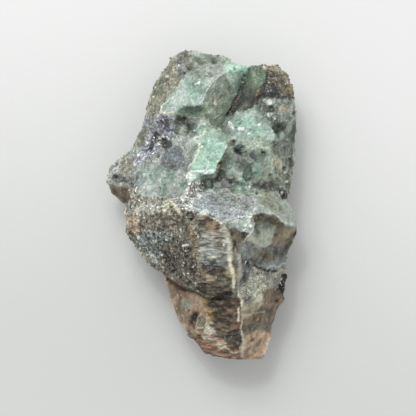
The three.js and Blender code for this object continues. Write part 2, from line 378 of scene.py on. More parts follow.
# %% The patches
PATCHES = [
    # the head
    ("strip along the head", "schist", "moss", "bone", 0.81, [(-5.2, 26.1), (-0.8, 26.1), (-1.2, 23.8),
     (-2.1, 22.0), (-3.4, 20.3), (-5.2, 18.2), (-6.8, 15.8), (-7.2, 13.1), (-8.8, 11.8), (-10.4, 9.5),
     (-11.0, 7.3), (-13.3, 8.2), (-11.3, 11.8), (-9.3, 17.4)]),
    ("top of the strip", "schist", "khaki", "silver", 0.57, [(-4.3, 24.9), (-3.0, 25.4), (-2.1, 24.5),
     (-2.3, 21.4), (-3.4, 20.9), (-4.3, 22.9)]),
    ("lilac streak in the strip", "schist", "slate", "lilac", 0.85, [(-9.9, 14.2), (-8.2, 15.1),
     (-8.0, 13.4), (-8.9, 12.4), (-10.0, 12.4)]),
    ("upper wedge", "beryl", "moss", "frost", 0.7, [(-2.1, 25.6), (0.1, 24.7), (2.4, 24.1), (4.1, 23.2),
     (3.7, 21.8), (1.9, 20.3), (0.1, 20.0), (-2.1, 20.7), (-2.3, 22.3), (-1.2, 24.1)]),
    ("worn corner of the wedge", "beryl", "moss", "silver", 0.87, [(0.9, 24.0), (2.2, 24.3), (3.9, 24.1),
     (4.1, 23.4), (3.6, 22.0), (2.2, 20.6), (1.3, 21.5), (0.9, 22.8)]),
    ("pale face of the wedge", "beryl", "sea", "frost", 0.61, [(-2.3, 20.9), (-0.1, 20.5), (1.7, 19.8),
     (1.2, 18.9), (1.0, 17.6), (0.3, 16.7), (-1.2, 16.2), (-3.4, 15.6), (-4.8, 14.7), (-6.6, 15.0),
     (-7.0, 15.6), (-5.7, 17.4), (-3.7, 19.1)]),
    ("minty cloud on the wedge", "beryl", "sea", "frost", 0.8, [(-3.2, 20.6), (-2.0, 20.1), (-0.8, 18.8),
     (-0.0, 17.6), (-1.3, 16.4), (-3.2, 16.2), (-5.2, 16.4), (-5.9, 17.4), (-4.4, 18.8)]),
    ("bright green top", "beryl", "sage", "sea", 1.33, [(3.7, 23.4), (5.9, 23.6), (7.7, 23.2),
     (7.5, 22.0), (6.6, 20.0), (5.5, 19.1), (4.6, 19.4), (3.7, 20.7), (3.5, 21.8)]),
    ("bright green, lower", "beryl", "sage", "sea", 0.97, [(5.2, 21.7), (6.6, 22.0), (6.9, 21.3),
     (6.3, 19.8), (5.7, 18.4), (5.1, 18.1), (4.6, 18.8), (4.8, 20.3)]),
    ("olive facet", "beryl", "moss", "sage", 0.95, [(3.5, 21.6), (4.6, 20.0), (5.3, 18.5), (4.8, 16.7),
     (4.1, 14.9), (3.5, 13.6), (2.4, 14.9), (1.2, 16.5), (1.2, 18.5), (1.7, 19.6)]),
    ("dark band under the wedge", "beryl", "moss", "sage", 1.32, [(-4.6, 14.8), (-3.2, 15.5),
     (-1.2, 16.1), (0.3, 16.6), (1.2, 16.5), (2.4, 14.9), (3.7, 13.8), (4.8, 12.9), (4.4, 11.8),
     (3.0, 12.0), (1.7, 13.1), (0.1, 14.6), (-2.1, 14.2), (-4.3, 14.1)]),
    ("green shade in the band", "beryl", "bottle", "jade", 0.9, [(-4.1, 14.9), (-3.2, 15.7),
     (-1.7, 16.1), (-0.2, 16.6), (0.3, 15.6), (-0.2, 14.8), (-2.1, 14.7)]),
    # the valley and the knob
    ("green slab", "beryl", "leaf", "moss", 0.73, [(7.9, 23.0), (10.8, 23.2), (11.0, 21.6), (9.9, 20.0),
     (8.6, 18.9), (6.8, 18.5), (6.2, 18.7), (7.0, 20.9)]),
    ("grey foot of the slab", "beryl", "lead", "moss", 0.69, [(6.6, 20.1), (7.8, 20.6), (9.0, 19.6),
     (9.0, 18.1), (8.0, 16.4), (5.8, 15.4), (4.6, 15.2), (5.1, 17.1), (6.1, 18.6)]),
    ("dark schist by the slab", "schist", "soot", "khaki", 0.8, [(10.2, 20.6), (11.0, 21.3),
     (11.1, 19.8), (10.2, 18.1), (9.2, 16.6), (8.3, 15.4), (6.8, 15.2), (8.0, 16.4), (9.0, 18.1),
     (9.5, 19.3)]),
    ("knob", "mica", "bark", "bone", 0.68, [(9.9, 23.6), (12.0, 23.5), (14.4, 22.0), (15.7, 20.0),
     (15.7, 17.8), (14.0, 17.4), (12.0, 17.4), (10.2, 17.8), (9.7, 18.7), (10.8, 21.1)]),
    ("ochre rim of the knob", "schist", "olive", "cream", 0.65, [(10.0, 23.2), (11.1, 23.5),
     (12.7, 23.1), (14.1, 22.1), (15.2, 20.6), (15.6, 19.1), (15.4, 18.0), (14.4, 18.4), (14.1, 19.8),
     (12.9, 21.8), (11.4, 22.1), (10.5, 22.3)]),
    ("ochre band on the knob", "schist", "khaki", "sand", 0.94, [(12.3, 20.2), (13.5, 19.6),
     (15.2, 19.1), (15.5, 18.1), (14.0, 18.4), (12.5, 19.3)]),
    ("dark mica under the knob", "mica", "soot", "slate", 0.98, [(10.1, 19.8), (12.4, 19.6),
     (13.0, 18.1), (12.7, 17.1), (11.0, 17.1), (9.7, 17.6), (9.5, 18.6)]),
    ("pale grains by the edge", "schist", "moss", "silver", 0.9, [(9.7, 17.4), (12.0, 17.4),
     (15.3, 17.6), (15.7, 14.9), (15.3, 13.6), (13.5, 13.1), (11.7, 14.0), (10.4, 14.9), (9.5, 16.2)]),
    ("cream grain", "beryl", "khaki", "cream", 0.75, [(12.8, 16.0), (13.5, 16.5), (14.5, 16.3),
     (14.7, 15.4), (13.9, 14.9), (13.0, 15.2)]),
    ("dark streaks by the edge", "film", "lead", "sage", 1.18, [(12.0, 13.1), (13.5, 13.1), (15.7, 14.0),
     (16.0, 11.8), (15.5, 9.5), (15.1, 7.8), (14.4, 6.0), (13.5, 7.3), (12.2, 9.5), (11.3, 11.8)]),
    # painted shade: the hollow by the edge is painted dark
    ("painted shade in the hollow by the edge", "schist", "soot", "moss", 1.0, [(11.3, 13.0), (12.7, 13.1), (14.1, 13.7),
     (14.4, 13.0), (13.2, 11.8), (12.1, 11.6)]),
    # the basin
    ("pale shelf", "beryl", "sea", "frost", 0.6, [(4.1, 14.2), (5.9, 14.9), (9.1, 16.2), (9.9, 15.6),
     (11.1, 13.6), (12.0, 11.3), (11.3, 9.5), (9.3, 9.5), (7.9, 8.9), (6.4, 9.1), (5.5, 10.4),
     (4.8, 12.0)]),
    ("blue-green part of the shelf", "beryl", "sea", "mint", 0.72, [(5.3, 14.1), (7.8, 14.7),
     (9.0, 13.6), (10.6, 12.0), (9.5, 10.8), (7.8, 10.3), (6.3, 11.1), (6.6, 12.1), (5.6, 12.9)]),
    ("foot of the shelf", "beryl", "jade", "sage", 0.9, [(5.8, 11.3), (7.5, 11.3), (9.4, 10.9),
     (11.2, 10.0), (11.6, 8.7), (10.7, 8.2), (9.4, 9.7), (8.0, 9.3), (6.3, 9.7)]),
    ("floor of the basin", "beryl", "bottle", "sage", 1.32, [(4.4, 9.5), (6.4, 9.1), (9.1, 9.5),
     (12.0, 9.5), (11.7, 7.3), (12.2, 4.0), (12.0, 2.2), (9.1, 1.5), (6.8, 1.7), (7.5, 3.3), (5.0, 5.1),
     (3.0, 4.9), (3.2, 6.9)]),
    ("grey lump in the basin", "beryl", "slate", "sage", 1, [(5.8, 8.1), (7.0, 8.4), (8.0, 8.3),
     (8.2, 7.2), (7.2, 6.5), (6.3, 6.0), (5.8, 7.0)]),
    # painted shade: the hole of the basin and the notch at the mint face are painted dark
    ("painted shade in the hole of the basin", "beryl", "soot", "bottle", 0.6, [(5.3, 9.2), (6.3, 9.4), (7.4, 8.9),
     (8.0, 8.9), (7.5, 8.1), (6.5, 8.0), (5.8, 8.2)]),
    ("painted shade in the notch at the mint face", "beryl", "soot", "moss", 0.9, [(4.8, 9.9), (5.5, 10.5), (6.0, 10.5),
     (5.8, 9.8), (5.0, 9.5)]),
    ("green lump", "beryl", "bottle", "jade", 0.7, [(6.1, 9.8), (7.0, 9.9), (7.5, 9.3), (7.0, 8.8),
     (6.3, 8.9)]),
    ("dark crystal", "beryl", "bottle", "slate", 0.92, [(8.2, 8.8), (8.8, 8.6), (9.2, 7.5), (8.6, 7.2),
     (8.0, 8.0)]),
    ("dark speck beside it", "beryl", "bottle", "jade", 0.85, [(9.4, 8.7), (10.3, 8.8), (10.3, 7.7),
     (9.7, 7.8)]),
    ("large dark crystal", "beryl", "bottle", "moss", 1.1, [(7.5, 6.7), (8.1, 6.6), (8.6, 5.8),
     (8.7, 4.8), (8.2, 4.0), (7.0, 4.4), (6.8, 5.6)]),
    ("teal side of the dark crystal", "beryl", "bottle", "sea", 0.99, [(8.2, 6.7), (9.2, 7.1),
     (9.7, 6.0), (9.4, 4.8), (8.7, 4.4), (8.6, 5.8)]),
    ("grey back of the basin", "beryl", "slate", "sage", 0.92, [(9.4, 7.2), (10.7, 7.5), (11.2, 6.2),
     (11.2, 4.8), (9.9, 4.5), (9.6, 5.8)]),
    ("mottled foot of the basin", "film", "lead", "sage", 1.1, [(8.2, 4.3), (9.9, 4.5), (11.6, 4.8),
     (12.4, 3.3), (12.1, 2.1), (10.7, 1.8), (9.2, 1.7), (8.2, 2.3)]),
    ("slate block", "beryl", "lead", "ash", 1.3, [(3.6, 4.3), (4.3, 4.8), (5.5, 4.7), (5.8, 3.9),
     (5.3, 3.2), (4.3, 2.8), (3.5, 3.3)]),
    ("jade block", "beryl", "bottle", "jade", 1.35, [(4.9, 3.1), (5.8, 3.7), (6.8, 3.1), (7.2, 2.0),
     (6.3, 1.8), (5.3, 2.2)]),
    ("pale side of the jade block", "beryl", "sage", "frost", 0.85, [(6.3, 4.3), (7.2, 4.4), (8.0, 3.6),
     (8.0, 2.3), (7.5, 1.8), (6.9, 2.8)]),
    ("green ground left of the blocks", "beryl", "sage", "sea", 0.84, [(3.6, 6.2), (4.3, 7.2),
     (5.5, 6.7), (6.3, 5.5), (5.3, 4.8), (3.8, 4.8), (3.3, 5.3)]),
    ("brown seam by the mint", "schist", "umber", "sand", 0.9, [(2.5, 5.5), (3.1, 6.9), (3.4, 7.1),
     (3.5, 6.5), (3.0, 5.3), (2.6, 4.4), (2.3, 4.4)]),
    ("top of the mint face", "beryl", "sage", "sea", 0.84, [(0.1, 14.0), (1.9, 12.9), (3.7, 11.6),
     (4.8, 10.4), (3.7, 10.2), (1.9, 10.7), (-0.1, 10.4), (-0.5, 12.0), (-0.1, 13.1)]),
    ("green band of the mint face", "beryl", "jade", "sage", 1, [(1.4, 12.8), (3.1, 12.7), (5.0, 11.6),
     (4.7, 10.4), (3.0, 11.1), (1.3, 11.9)]),
    ("recess", "schist", "bottle", "silver", 1.25, [(-4.6, 13.9), (-2.1, 14.1), (-0.8, 13.7),
     (-0.8, 12.0), (-2.6, 11.2), (-4.3, 10.9), (-5.2, 11.8)]),
    ("black specks of the recess", "schist", "soot", "sage", 1, [(-4.0, 14.8), (-2.1, 14.2),
     (-1.7, 12.9), (-2.3, 11.3), (-3.8, 11.3), (-4.8, 12.6)]),
    ("rim over the recess", "beryl", "sage", "frost", 0.9, [(-1.4, 14.3), (1.0, 14.0), (0.8, 13.1),
     (-0.8, 13.1), (-2.1, 13.8)]),
    ("grey-green mass", "schist", "sage", "silver", 0.85, [(-4.3, 11.1), (-0.5, 11.6), (-0.5, 9.5),
     (-1.2, 7.3), (-2.1, 5.5), (-3.4, 6.0), (-2.6, 8.2), (-3.9, 9.8)]),
    ("white lumps", "beryl", "sage", "frost", 0.85, [(-2.6, 10.9), (-0.3, 11.3), (-0.4, 9.8),
     (-2.3, 9.5)]),
    ("mint face", "beryl", "sea", "mint", 0.87, [(-0.3, 10.5), (1.9, 10.8), (3.9, 10.2), (4.4, 9.5),
     (3.7, 7.8), (2.8, 6.6), (2.1, 5.4), (0.6, 5.1), (-1.7, 5.6), (-1.2, 7.3), (-0.7, 9.1)]),
    ("heart of the mint face", "beryl", "sea", "mint", 0.88, [(0.3, 10.4), (2.1, 10.4), (3.8, 9.5),
     (3.6, 8.3), (2.6, 6.7), (0.9, 6.2), (-0.3, 7.2), (-0.2, 8.9)]),
    ("pink-grey mass", "schist", "ash", "silver", 0.97, [(-12.6, 8.9), (-11.0, 9.5), (-6.1, 9.5),
     (-6.3, 7.3), (-8.1, 6.4), (-10.4, 5.5), (-12.2, 3.1), (-12.4, 5.1)]),
    ("lilac mica", "mica", "plum", "lilac", 1.7, [(-7.1, 14.9), (-4.8, 14.6), (-4.1, 12.9), (-5.0, 11.3),
     (-6.3, 9.8), (-7.9, 8.0), (-9.9, 7.1), (-11.5, 6.2), (-11.0, 8.0), (-9.5, 10.7), (-8.1, 12.9)]),
    ("plum pocket", "mica", "plum", "lilac", 1.2, [(-6.8, 15.0), (-5.5, 14.8), (-5.0, 13.4),
     (-5.2, 11.8), (-6.0, 11.4), (-6.6, 12.6), (-6.9, 14.0)]),
    ("black pocket", "mica", "soot", "slate", 1.1, [(-8.1, 11.7), (-7.2, 12.2), (-6.5, 11.5),
     (-5.5, 10.9), (-5.3, 9.8), (-6.1, 9.5), (-6.8, 10.5), (-7.7, 9.7), (-8.8, 8.8), (-9.1, 9.1),
     (-8.5, 10.3)]),
    ("left green mass", "beryl", "jade", "silver", 0.84, [(-10.4, 5.5), (-8.1, 6.4), (-5.2, 5.7),
     (-3.0, 5.7), (-2.1, 5.1), (-2.6, 3.3), (-3.9, 1.5), (-6.6, 1.1), (-9.3, 1.3), (-11.0, 2.6)]),
    ("first mint stain", "beryl", "sea", "frost", 0.8, [(-9.4, 5.5), (-8.5, 5.3), (-8.1, 3.9),
     (-8.1, 2.4), (-8.8, 2.1), (-9.0, 3.9)]),
    ("second mint stain", "beryl", "sea", "frost", 0.75, [(-10.8, 2.6), (-9.7, 2.5), (-9.0, 1.7),
     (-9.7, 1.2), (-10.6, 1.7)]),
    ("smooth grey-green patch", "beryl", "sage", "silver", 0.85, [(-5.9, 3.5), (-4.6, 3.7), (-3.8, 2.8),
     (-4.0, 1.5), (-4.9, 0.9), (-5.8, 1.7)]),
    ("slate stain", "schist", "slate", "steel", 0.84, [(-6.7, 7.0), (-6.5, 7.8), (-5.4, 8.9),
     (-4.8, 9.1), (-3.8, 9.7), (-3.2, 9.2), (-2.7, 8.4), (-2.9, 7.3), (-2.8, 6.4), (-3.6, 6.2),
     (-4.2, 5.7), (-4.9, 6.2), (-5.6, 6.4)]),
    ("fractured beryl", "beryl", "sage", "frost", 1.15, [(-2.3, 6.0), (0.8, 5.3), (1.2, 4.6), (0.1, 3.7),
     (-1.7, 3.7), (-2.6, 4.9)]),
    ("salt", "mica", "soot", "white", 1.45, [(-2.1, 3.7), (0.1, 3.7), (0.3, 2.2), (-0.3, 0.8),
     (-2.3, 1.7)]),
    ("lower wall of the mint face", "beryl", "sea", "frost", 1.4, [(-1.1, 5.7), (2.5, 5.7), (2.8, 5.0),
     (2.0, 4.5), (-0.2, 4.3), (-1.3, 4.9)]),
    ("small dark crystal", "beryl", "moss", "frost", 0.8, [(0.5, 4.3), (2.0, 4.2), (2.1, 3.4),
     (1.9, 2.1), (1.1, 2.0), (0.3, 2.3)]),
    # the nub and the right edge
    ("nub", "schist", "khaki", "silver", 1.04, [(-15.7, 4.0), (-14.8, 7.3), (-12.6, 8.9), (-11.3, 7.3),
     (-11.7, 3.1), (-14.4, 3.1), (-15.3, 2.2)]),
    ("dark grains of the nub", "schist", "lead", "ash", 0.9, [(-14.9, 4.8), (-13.9, 5.3), (-13.0, 4.6),
     (-12.8, 3.5), (-13.9, 3.5), (-14.7, 4.0)]),
    ("under the nub", "film", "umber", "sand", 0.75, [(-15.3, 2.8), (-14.2, 3.1), (-12.4, 2.6),
     (-12.3, -1.2), (-13.7, 0.2)]),
    # painted shade: the underside of the nub is painted dark, where it lies in shadow
    ("painted shade under the nub", "film", "bark", "umber", 0.9, [(-13.3, 2.8), (-12.4, 2.4), (-12.4, -0.8),
     (-12.9, -0.1), (-13.5, 1.5)]),
    ("brown right edge", "schist", "umber", "sage", 0.9, [(11.3, 10.0), (13.5, 10.4), (14.4, 6.2),
     (14.2, 2.8), (14.4, 1.3), (12.2, 1.7), (12.0, 5.1), (11.5, 7.8)]),
    ("tan wedge", "film", "khaki", "cream", 0.85, [(11.5, 8.2), (12.4, 7.8), (13.5, 6.0), (13.3, 5.5),
     (12.0, 6.0)]),
    ("dark right edge", "schist", "bark", "ash", 0.95, [(13.4, 10.4), (15.3, 10.6), (15.2, 8.9),
     (14.7, 7.2), (14.3, 6.0), (13.6, 6.5), (13.7, 8.2)]),
    # painted shade: the gap by the ledge is painted dark
    ("painted shade in the gap by the ledge", "schist", "soot", "lead", 0.7, [(12.3, 1.7), (13.1, 2.3), (14.1, 2.3),
     (14.2, 1.1), (13.6, 0.7), (12.5, 1.0)]),
    # the ledge
    ("silver ledge", "schist", "steel", "silver", 1.03, [(-1.2, 0.6), (0.1, 1.3), (1.2, 2.0), (3.5, 1.7),
     (6.8, 1.1), (8.6, 0.8), (9.1, -0.1), (8.2, -1.6), (5.9, -2.1), (4.1, -2.7), (3.0, -2.4),
     (1.5, -1.6), (0.1, -0.9), (-1.2, -0.3)]),
    ("back of the silver ledge", "schist", "slate", "silver", 0.95, [(1.7, 2.3), (3.0, 2.8), (4.2, 1.8),
     (6.3, 0.9), (8.5, 1.7), (9.2, 0.7), (8.2, -0.2), (5.8, -0.4), (3.1, 0.4), (1.4, 0.9)]),
    ("green ledge", "beryl", "sage", "silver", 0.82, [(8.6, 0.8), (12.2, 2.0), (14.4, 1.1), (15.7, -3.0),
     (16.0, -3.6), (13.5, -3.0), (12.0, -1.8), (10.2, -1.2), (8.8, -1.4), (8.6, -0.3)]),
    ("yellow-green part of the ledge", "beryl", "moss", "bone", 0.95, [(9.3, 1.4), (10.7, 1.8),
     (11.9, 1.7), (12.3, 0.5), (13.4, -0.4), (13.6, -1.3), (11.9, -1.0), (10.4, -0.5), (9.4, 0.3)]),
    # the mica block and the edges of its sheets
    ("front of the mica block", "mica", "bark", "bone", 0.89, [(-12.4, -2.5), (-8.8, -1.4), (-5.2, -0.7),
     (-2.1, -1.2), (-0.5, -2.5), (-0.3, -5.0), (-0.5, -7.6), (-0.1, -10.1), (-1.2, -11.9), (-1.2, -14.1),
     (-3.4, -13.0), (-6.6, -10.8), (-9.3, -9.2), (-11.5, -6.5), (-12.4, -4.7)]),
    ("brown part of the block", "mica", "bark", "bone", 1, [(-7.3, -1.8), (-5.2, -0.3), (-3.9, -1.2),
     (-2.6, -2.3), (-2.6, -4.5), (-4.4, -5.4), (-5.9, -3.9), (-6.8, -3.9)]),
    ("grey part of the block", "mica", "bark", "frost", 0.82, [(-11.1, -5.4), (-8.6, -4.3), (-5.9, -4.4),
     (-4.6, -5.2), (-4.8, -6.5), (-6.6, -7.6), (-7.3, -9.9), (-9.0, -8.3), (-10.8, -7.2)]),
    ("dark part of the block", "mica", "bark", "bone", 0.62, [(-6.6, -6.5), (-2.1, -6.1), (-0.3, -8.8),
     (-0.8, -12.1), (-1.2, -14.1), (-3.4, -13.0), (-6.1, -10.5)]),
    ("olive rim of the block", "film", "olive", "bone", 0.8, [(-11.2, -7.1), (-10.5, -7.6), (-9.3, -8.1),
     (-8.2, -9.0), (-8.2, -9.9), (-9.2, -9.5), (-10.2, -8.5)]),
    ("top of the block", "mica", "slate", "bone", 1.72, [(-12.4, -0.3), (-10.4, 1.5), (-7.5, 1.1),
     (-5.2, 1.1), (-3.9, -0.5), (-5.2, -0.9), (-7.0, -0.9), (-8.8, -2.1), (-10.4, -2.7), (-12.2, -2.7)]),
    ("cream fringe of the block", "mica", "slate", "bone", 1.5, [(-11.5, 2.4), (-10.6, 2.8), (-9.9, 1.7),
     (-9.3, 1.1), (-8.1, 1.5), (-7.7, 0.8), (-6.6, 0.6), (-5.9, 1.2), (-5.5, 0.3), (-4.3, 0.6),
     (-4.6, -0.2), (-6.1, -0.4), (-7.7, -0.2), (-9.3, 0.0), (-10.6, 0.6), (-11.5, 1.1)]),
    ("white mica", "mica", "lead", "white", 1.57, [(-5.2, 0.6), (-3.4, 1.1), (-1.2, 0.8), (-1.2, -0.5),
     (-2.3, -0.9), (-3.9, -0.5)]),
    ("rusty side of the block", "mica", "brick", "bone", 1.6, [(-12.6, -2.1), (-10.4, -1.8),
     (-10.1, -3.9), (-10.4, -5.2), (-11.9, -4.3)]),
    ("rose seam of the block", "mica", "umber", "sand", 0.9, [(-2.6, -3.9), (-1.2, -3.9), (-0.6, -6.1),
     (-0.4, -7.6), (-0.7, -9.7), (-1.5, -8.8), (-1.1, -7.2), (-1.8, -5.9)]),
    ("sand seam of the block", "mica", "khaki", "bone", 0.95, [(-0.9, -7.2), (-0.0, -7.4), (0.4, -9.7),
     (-0.1, -11.4), (-1.0, -11.3), (-0.7, -9.7), (-0.4, -8.5)]),
    ("brown layers", "layers", "soot", "bone", 0.83, [(-0.5, -2.3), (1.5, -1.8), (3.7, -3.4),
     (4.1, -5.0), (1.9, -5.2), (-0.3, -5.0)]),
    ("red-brown corner of the layers", "layers", "bark", "rose", 0.85, [(0.4, -2.2), (1.4, -1.9),
     (2.6, -2.5), (3.1, -4.0), (1.9, -4.4), (0.4, -3.7)]),
    ("pale layers", "layers", "umber", "ash", 1.35, [(-0.3, -5.4), (4.1, -5.4), (4.6, -7.9), (2.4, -8.3),
     (-0.3, -8.3)]),
    ("dark layers", "layers", "bark", "ash", 0.85, [(-0.3, -8.5), (4.6, -8.3), (4.8, -10.3),
     (2.4, -10.8), (-0.1, -10.8)]),
    ("striped layers", "layers", "bark", "sand", 0.85, [(-0.1, -10.8), (5.0, -10.5), (5.5, -13.2),
     (2.4, -13.4), (-0.1, -13.2), (-1.0, -12.3)]),
    ("grey end of the striped layers", "layers", "lead", "khaki", 0.85, [(2.4, -12.3), (4.1, -11.3),
     (5.0, -12.3), (5.3, -13.7), (3.8, -13.9), (2.1, -14.0)]),
    ("dark foot of the layers", "layers", "soot", "khaki", 0.6, [(-1.0, -13.2), (5.5, -13.4),
     (5.5, -14.6), (4.1, -15.5), (1.9, -15.5), (0.1, -14.6)]),
    # under the ledge
    ("stub", "beryl", "ash", "frost", 1.36, [(4.3, -3.0), (5.9, -2.4), (8.2, -2.1), (8.5, -2.7),
     (8.4, -3.9), (7.5, -4.7), (6.4, -4.5), (4.6, -3.9)]),
    # painted shadow: the ground under the stub, and its shaded side below, are painted dark
    ("painted shadow under the stub", "film", "soot", "khaki", 0.74, [(4.6, -4.3), (6.4, -5.0), (7.5, -5.0),
     (7.0, -5.9), (6.4, -6.5), (5.3, -6.5), (4.6, -5.2)]),
    ("brown ground by the vein", "film", "umber", "khaki", 0.9, [(4.7, -5.4), (6.3, -6.0), (6.5, -7.4),
     (5.8, -8.2), (5.3, -7.4)]),
    ("shaded side of the stub", "film", "soot", "khaki", 1, [(4.6, -3.6), (5.8, -4.1), (7.5, -4.7),
     (7.3, -5.5), (6.2, -6.6), (5.6, -7.2), (5.0, -7.4), (4.7, -5.7)]),
    ("olive undercut", "film", "bark", "olive", 1.4, [(8.3, -1.8), (9.9, -1.3), (11.3, -1.5),
     (13.5, -3.0), (12.0, -3.2), (10.6, -3.0), (9.1, -3.4), (8.6, -3.0)]),
    # painted shade: the back of the undercut, under the ledge, is painted dark
    ("painted shade under the ledge", "film", "bark", "moss", 1.0, [(9.3, -1.8), (10.3, -1.4), (11.6, -2.0),
     (12.1, -3.0), (10.7, -3.0), (9.4, -2.7)]),
    ("olive facet under the ledge", "film", "sage", "bone", 1.03, [(8.6, -3.4), (10.6, -3.0),
     (12.2, -3.4), (12.0, -4.7), (11.3, -6.5), (10.4, -7.0), (9.1, -6.1), (7.5, -5.9), (8.4, -4.3)]),
    ("green shade of the olive facet", "film", "bottle", "sage", 1.0, [(8.6, -3.0), (9.4, -3.1),
     (9.7, -4.4), (9.2, -5.4), (8.2, -5.2), (8.5, -4.0)]),
    ("brown facet under the ledge", "film", "khaki", "sand", 0.82, [(12.0, -3.2), (15.7, -3.6),
     (15.5, -5.4), (14.9, -7.0), (13.5, -7.2), (11.7, -6.5), (12.2, -4.7)]),
    ("dark edge of the brown facet", "film", "soot", "khaki", 1.0, [(14.2, -5.4), (15.2, -4.2),
     (15.9, -4.0), (15.2, -6.2), (14.2, -8.6), (13.6, -8.6), (13.8, -6.9)]),
    ("grey flank", "film", "lead", "ash", 0.86, [(6.2, -6.5), (7.5, -6.1), (10.2, -7.0), (11.7, -6.8),
     (14.4, -7.4), (14.0, -9.7), (12.6, -11.0), (10.6, -10.8), (8.6, -9.9), (7.3, -10.5), (6.4, -11.0),
     (5.9, -8.8)]),
    ("brown part of the flank", "film", "umber", "ash", 0.85, [(7.5, -6.9), (8.5, -6.4), (9.4, -7.4),
     (9.2, -8.8), (8.2, -9.3), (7.7, -8.4)]),
    ("dark part of the flank", "film", "lead", "khaki", 0.9, [(9.4, -7.4), (11.2, -7.1), (12.4, -8.1),
     (12.1, -9.3), (10.7, -9.7), (9.4, -9.1)]),
    ("pale flank", "schist", "slate", "bone", 1, [(6.4, -11.2), (8.6, -10.3), (11.3, -11.2),
     (13.5, -11.0), (14.2, -11.9), (13.1, -13.7), (11.3, -13.9), (9.7, -15.2), (7.9, -16.1),
     (7.0, -15.9), (6.6, -13.7)]),
    ("dark green patch by the vein", "schist", "soot", "ash", 1.0, [(6.4, -8.1), (7.4, -8.4),
     (8.5, -9.8), (8.0, -11.3), (7.5, -12.6), (6.8, -13.2), (6.4, -11.3)]),
    ("pale heart of the flank", "schist", "sage", "cream", 0.95, [(7.7, -12.3), (9.0, -11.8),
     (9.9, -12.9), (10.9, -13.5), (10.4, -15.0), (9.0, -15.7), (7.7, -14.7), (7.4, -13.4)]),
    # painted shade: the notch in the side is painted dark, darkest in its deep, with umber grains of its
    # own
    ("painted shade in the side notch", "mica", "soot", "umber", 0.8, [(13.2, -13.0), (14.2, -11.4), (14.3, -13.2),
     (13.5, -14.6)]),
    ("painted deep shade of the notch", "mica", "soot", "bark", 0.65, [(13.1, -11.5), (14.1, -11.3), (14.2, -12.8),
     (13.5, -14.0), (13.0, -13.9), (13.4, -12.5)]),
    # the tail
    ("right face of the tail", "film", "umber", "rose", 0.8, [(9.7, -15.2), (11.3, -13.9), (13.3, -14.6),
     (13.1, -16.8), (12.2, -19.5), (11.3, -21.3), (9.1, -20.8), (7.5, -21.0), (7.0, -18.8),
     (7.5, -17.0)]),
    ("pale streak of the tail", "film", "khaki", "bone", 1.2, [(7.0, -17.3), (8.6, -15.7), (9.8, -15.0),
     (10.3, -15.9), (9.6, -17.3), (8.2, -18.5), (7.2, -18.5)]),
    ("grey lower right of the tail", "film", "lead", "khaki", 1.0, [(7.5, -20.4), (9.1, -20.1),
     (11.2, -19.7), (11.9, -19.9), (11.2, -21.3), (9.3, -21.2), (7.7, -21.4)]),
    ("ochre foot", "film", "umber", "rose", 1.75, [(7.0, -21.0), (9.1, -21.0), (11.1, -21.5),
     (10.2, -23.9), (9.9, -25.7), (7.5, -25.9), (6.8, -24.4)]),
    ("left face of the tail", "film", "umber", "rose", 1.39, [(-6.1, -11.4), (-5.2, -11.9),
     (-3.4, -13.2), (-1.2, -14.3), (0.1, -15.2), (1.0, -17.0), (1.2, -18.8), (1.0, -20.1), (0.1, -21.5),
     (-1.0, -21.7), (-3.4, -20.1), (-4.8, -18.6), (-5.5, -14.8)]),
    ("sage stain of the tail", "film", "khaki", "sage", 1.0, [(-3.2, -15.5), (-2.0, -15.5),
     (-1.6, -16.7), (-2.5, -17.4), (-3.1, -16.9)]),
    ("brick stain of the tail", "film", "brick", "rose", 1.05, [(-5.3, -12.3), (-3.7, -13.0),
     (-1.9, -14.1), (-1.4, -15.4), (-2.8, -15.2), (-4.3, -14.1), (-5.2, -13.3)]),
    # painted shade: the pit is painted very dark, over its own red-brown colour
    ("painted shade in the pit of the tail", "film", "bark", "rust", 0.34, [(-1.4, -17.7), (-0.1, -17.9), (-0.1, -19.0),
     (-0.8, -20.1), (-0.8, -20.8), (-1.9, -20.1), (-1.7, -18.8)]),
    ("round lump of the tail", "film", "khaki", "sand", 0.8, [(-0.5, -19.0), (0.8, -18.8), (1.0, -20.4),
     (0.1, -20.8), (-0.8, -20.1)]),
    ("layers of the tail", "layers", "bark", "rose", 0.57, [(1.2, -16.8), (6.4, -16.1), (6.6, -18.8),
     (6.6, -21.7), (5.5, -23.3), (4.1, -22.6), (2.4, -21.3), (1.7, -19.9), (1.5, -18.4)]),
    ("ochre side of the layers", "layers", "umber", "ochre", 0.9, [(0.1, -15.4), (1.1, -16.9),
     (1.9, -17.7), (2.0, -19.1), (1.6, -19.8), (1.1, -17.9)]),
    ("pale chip of the tail", "beryl", "umber", "bone", 1.1, [(1.1, -20.2), (1.9, -20.4), (2.8, -21.5),
     (2.0, -21.7), (0.8, -21.3), (0.7, -20.7)]),
    ("red end of the layers", "layers", "bark", "rust", 0.5, [(6.0, -19.6), (6.8, -19.6), (6.8, -20.8),
     (6.1, -20.7)]),
    ("dark end of the layers", "layers", "bark", "umber", 0.75, [(2.5, -21.7), (4.0, -21.5),
     (5.8, -21.6), (6.2, -22.4), (4.7, -22.9), (3.3, -22.7)]),
    ("layered foot of the tail", "layers", "brick", "clay", 0.74, [(0.1, -21.7), (2.4, -21.5),
     (3.7, -22.4), (4.6, -23.9), (5.9, -24.6), (6.8, -24.6), (6.6, -26.2), (3.5, -25.9), (0.8, -25.3),
     (-0.3, -23.9), (-1.0, -22.4)]),
    ("pale layers of the foot", "layers", "clay", "bone", 0.95, [(0.1, -21.7), (1.6, -21.8),
     (3.8, -22.2), (4.2, -23.3), (3.3, -23.8), (1.6, -23.1), (0.3, -22.6)]),
]
KINDS = ("beryl", "schist", "mica", "layers", "film")
print(len(PATCHES), "patches are drawn")

# %% [markdown]
# ## Lines
#
# Veins, crests and cracks are lines: each has its name, its width and how far it stands out of the
# stone (or, below zero, how deep it is cut), a tint with the share that it covers, and its points.

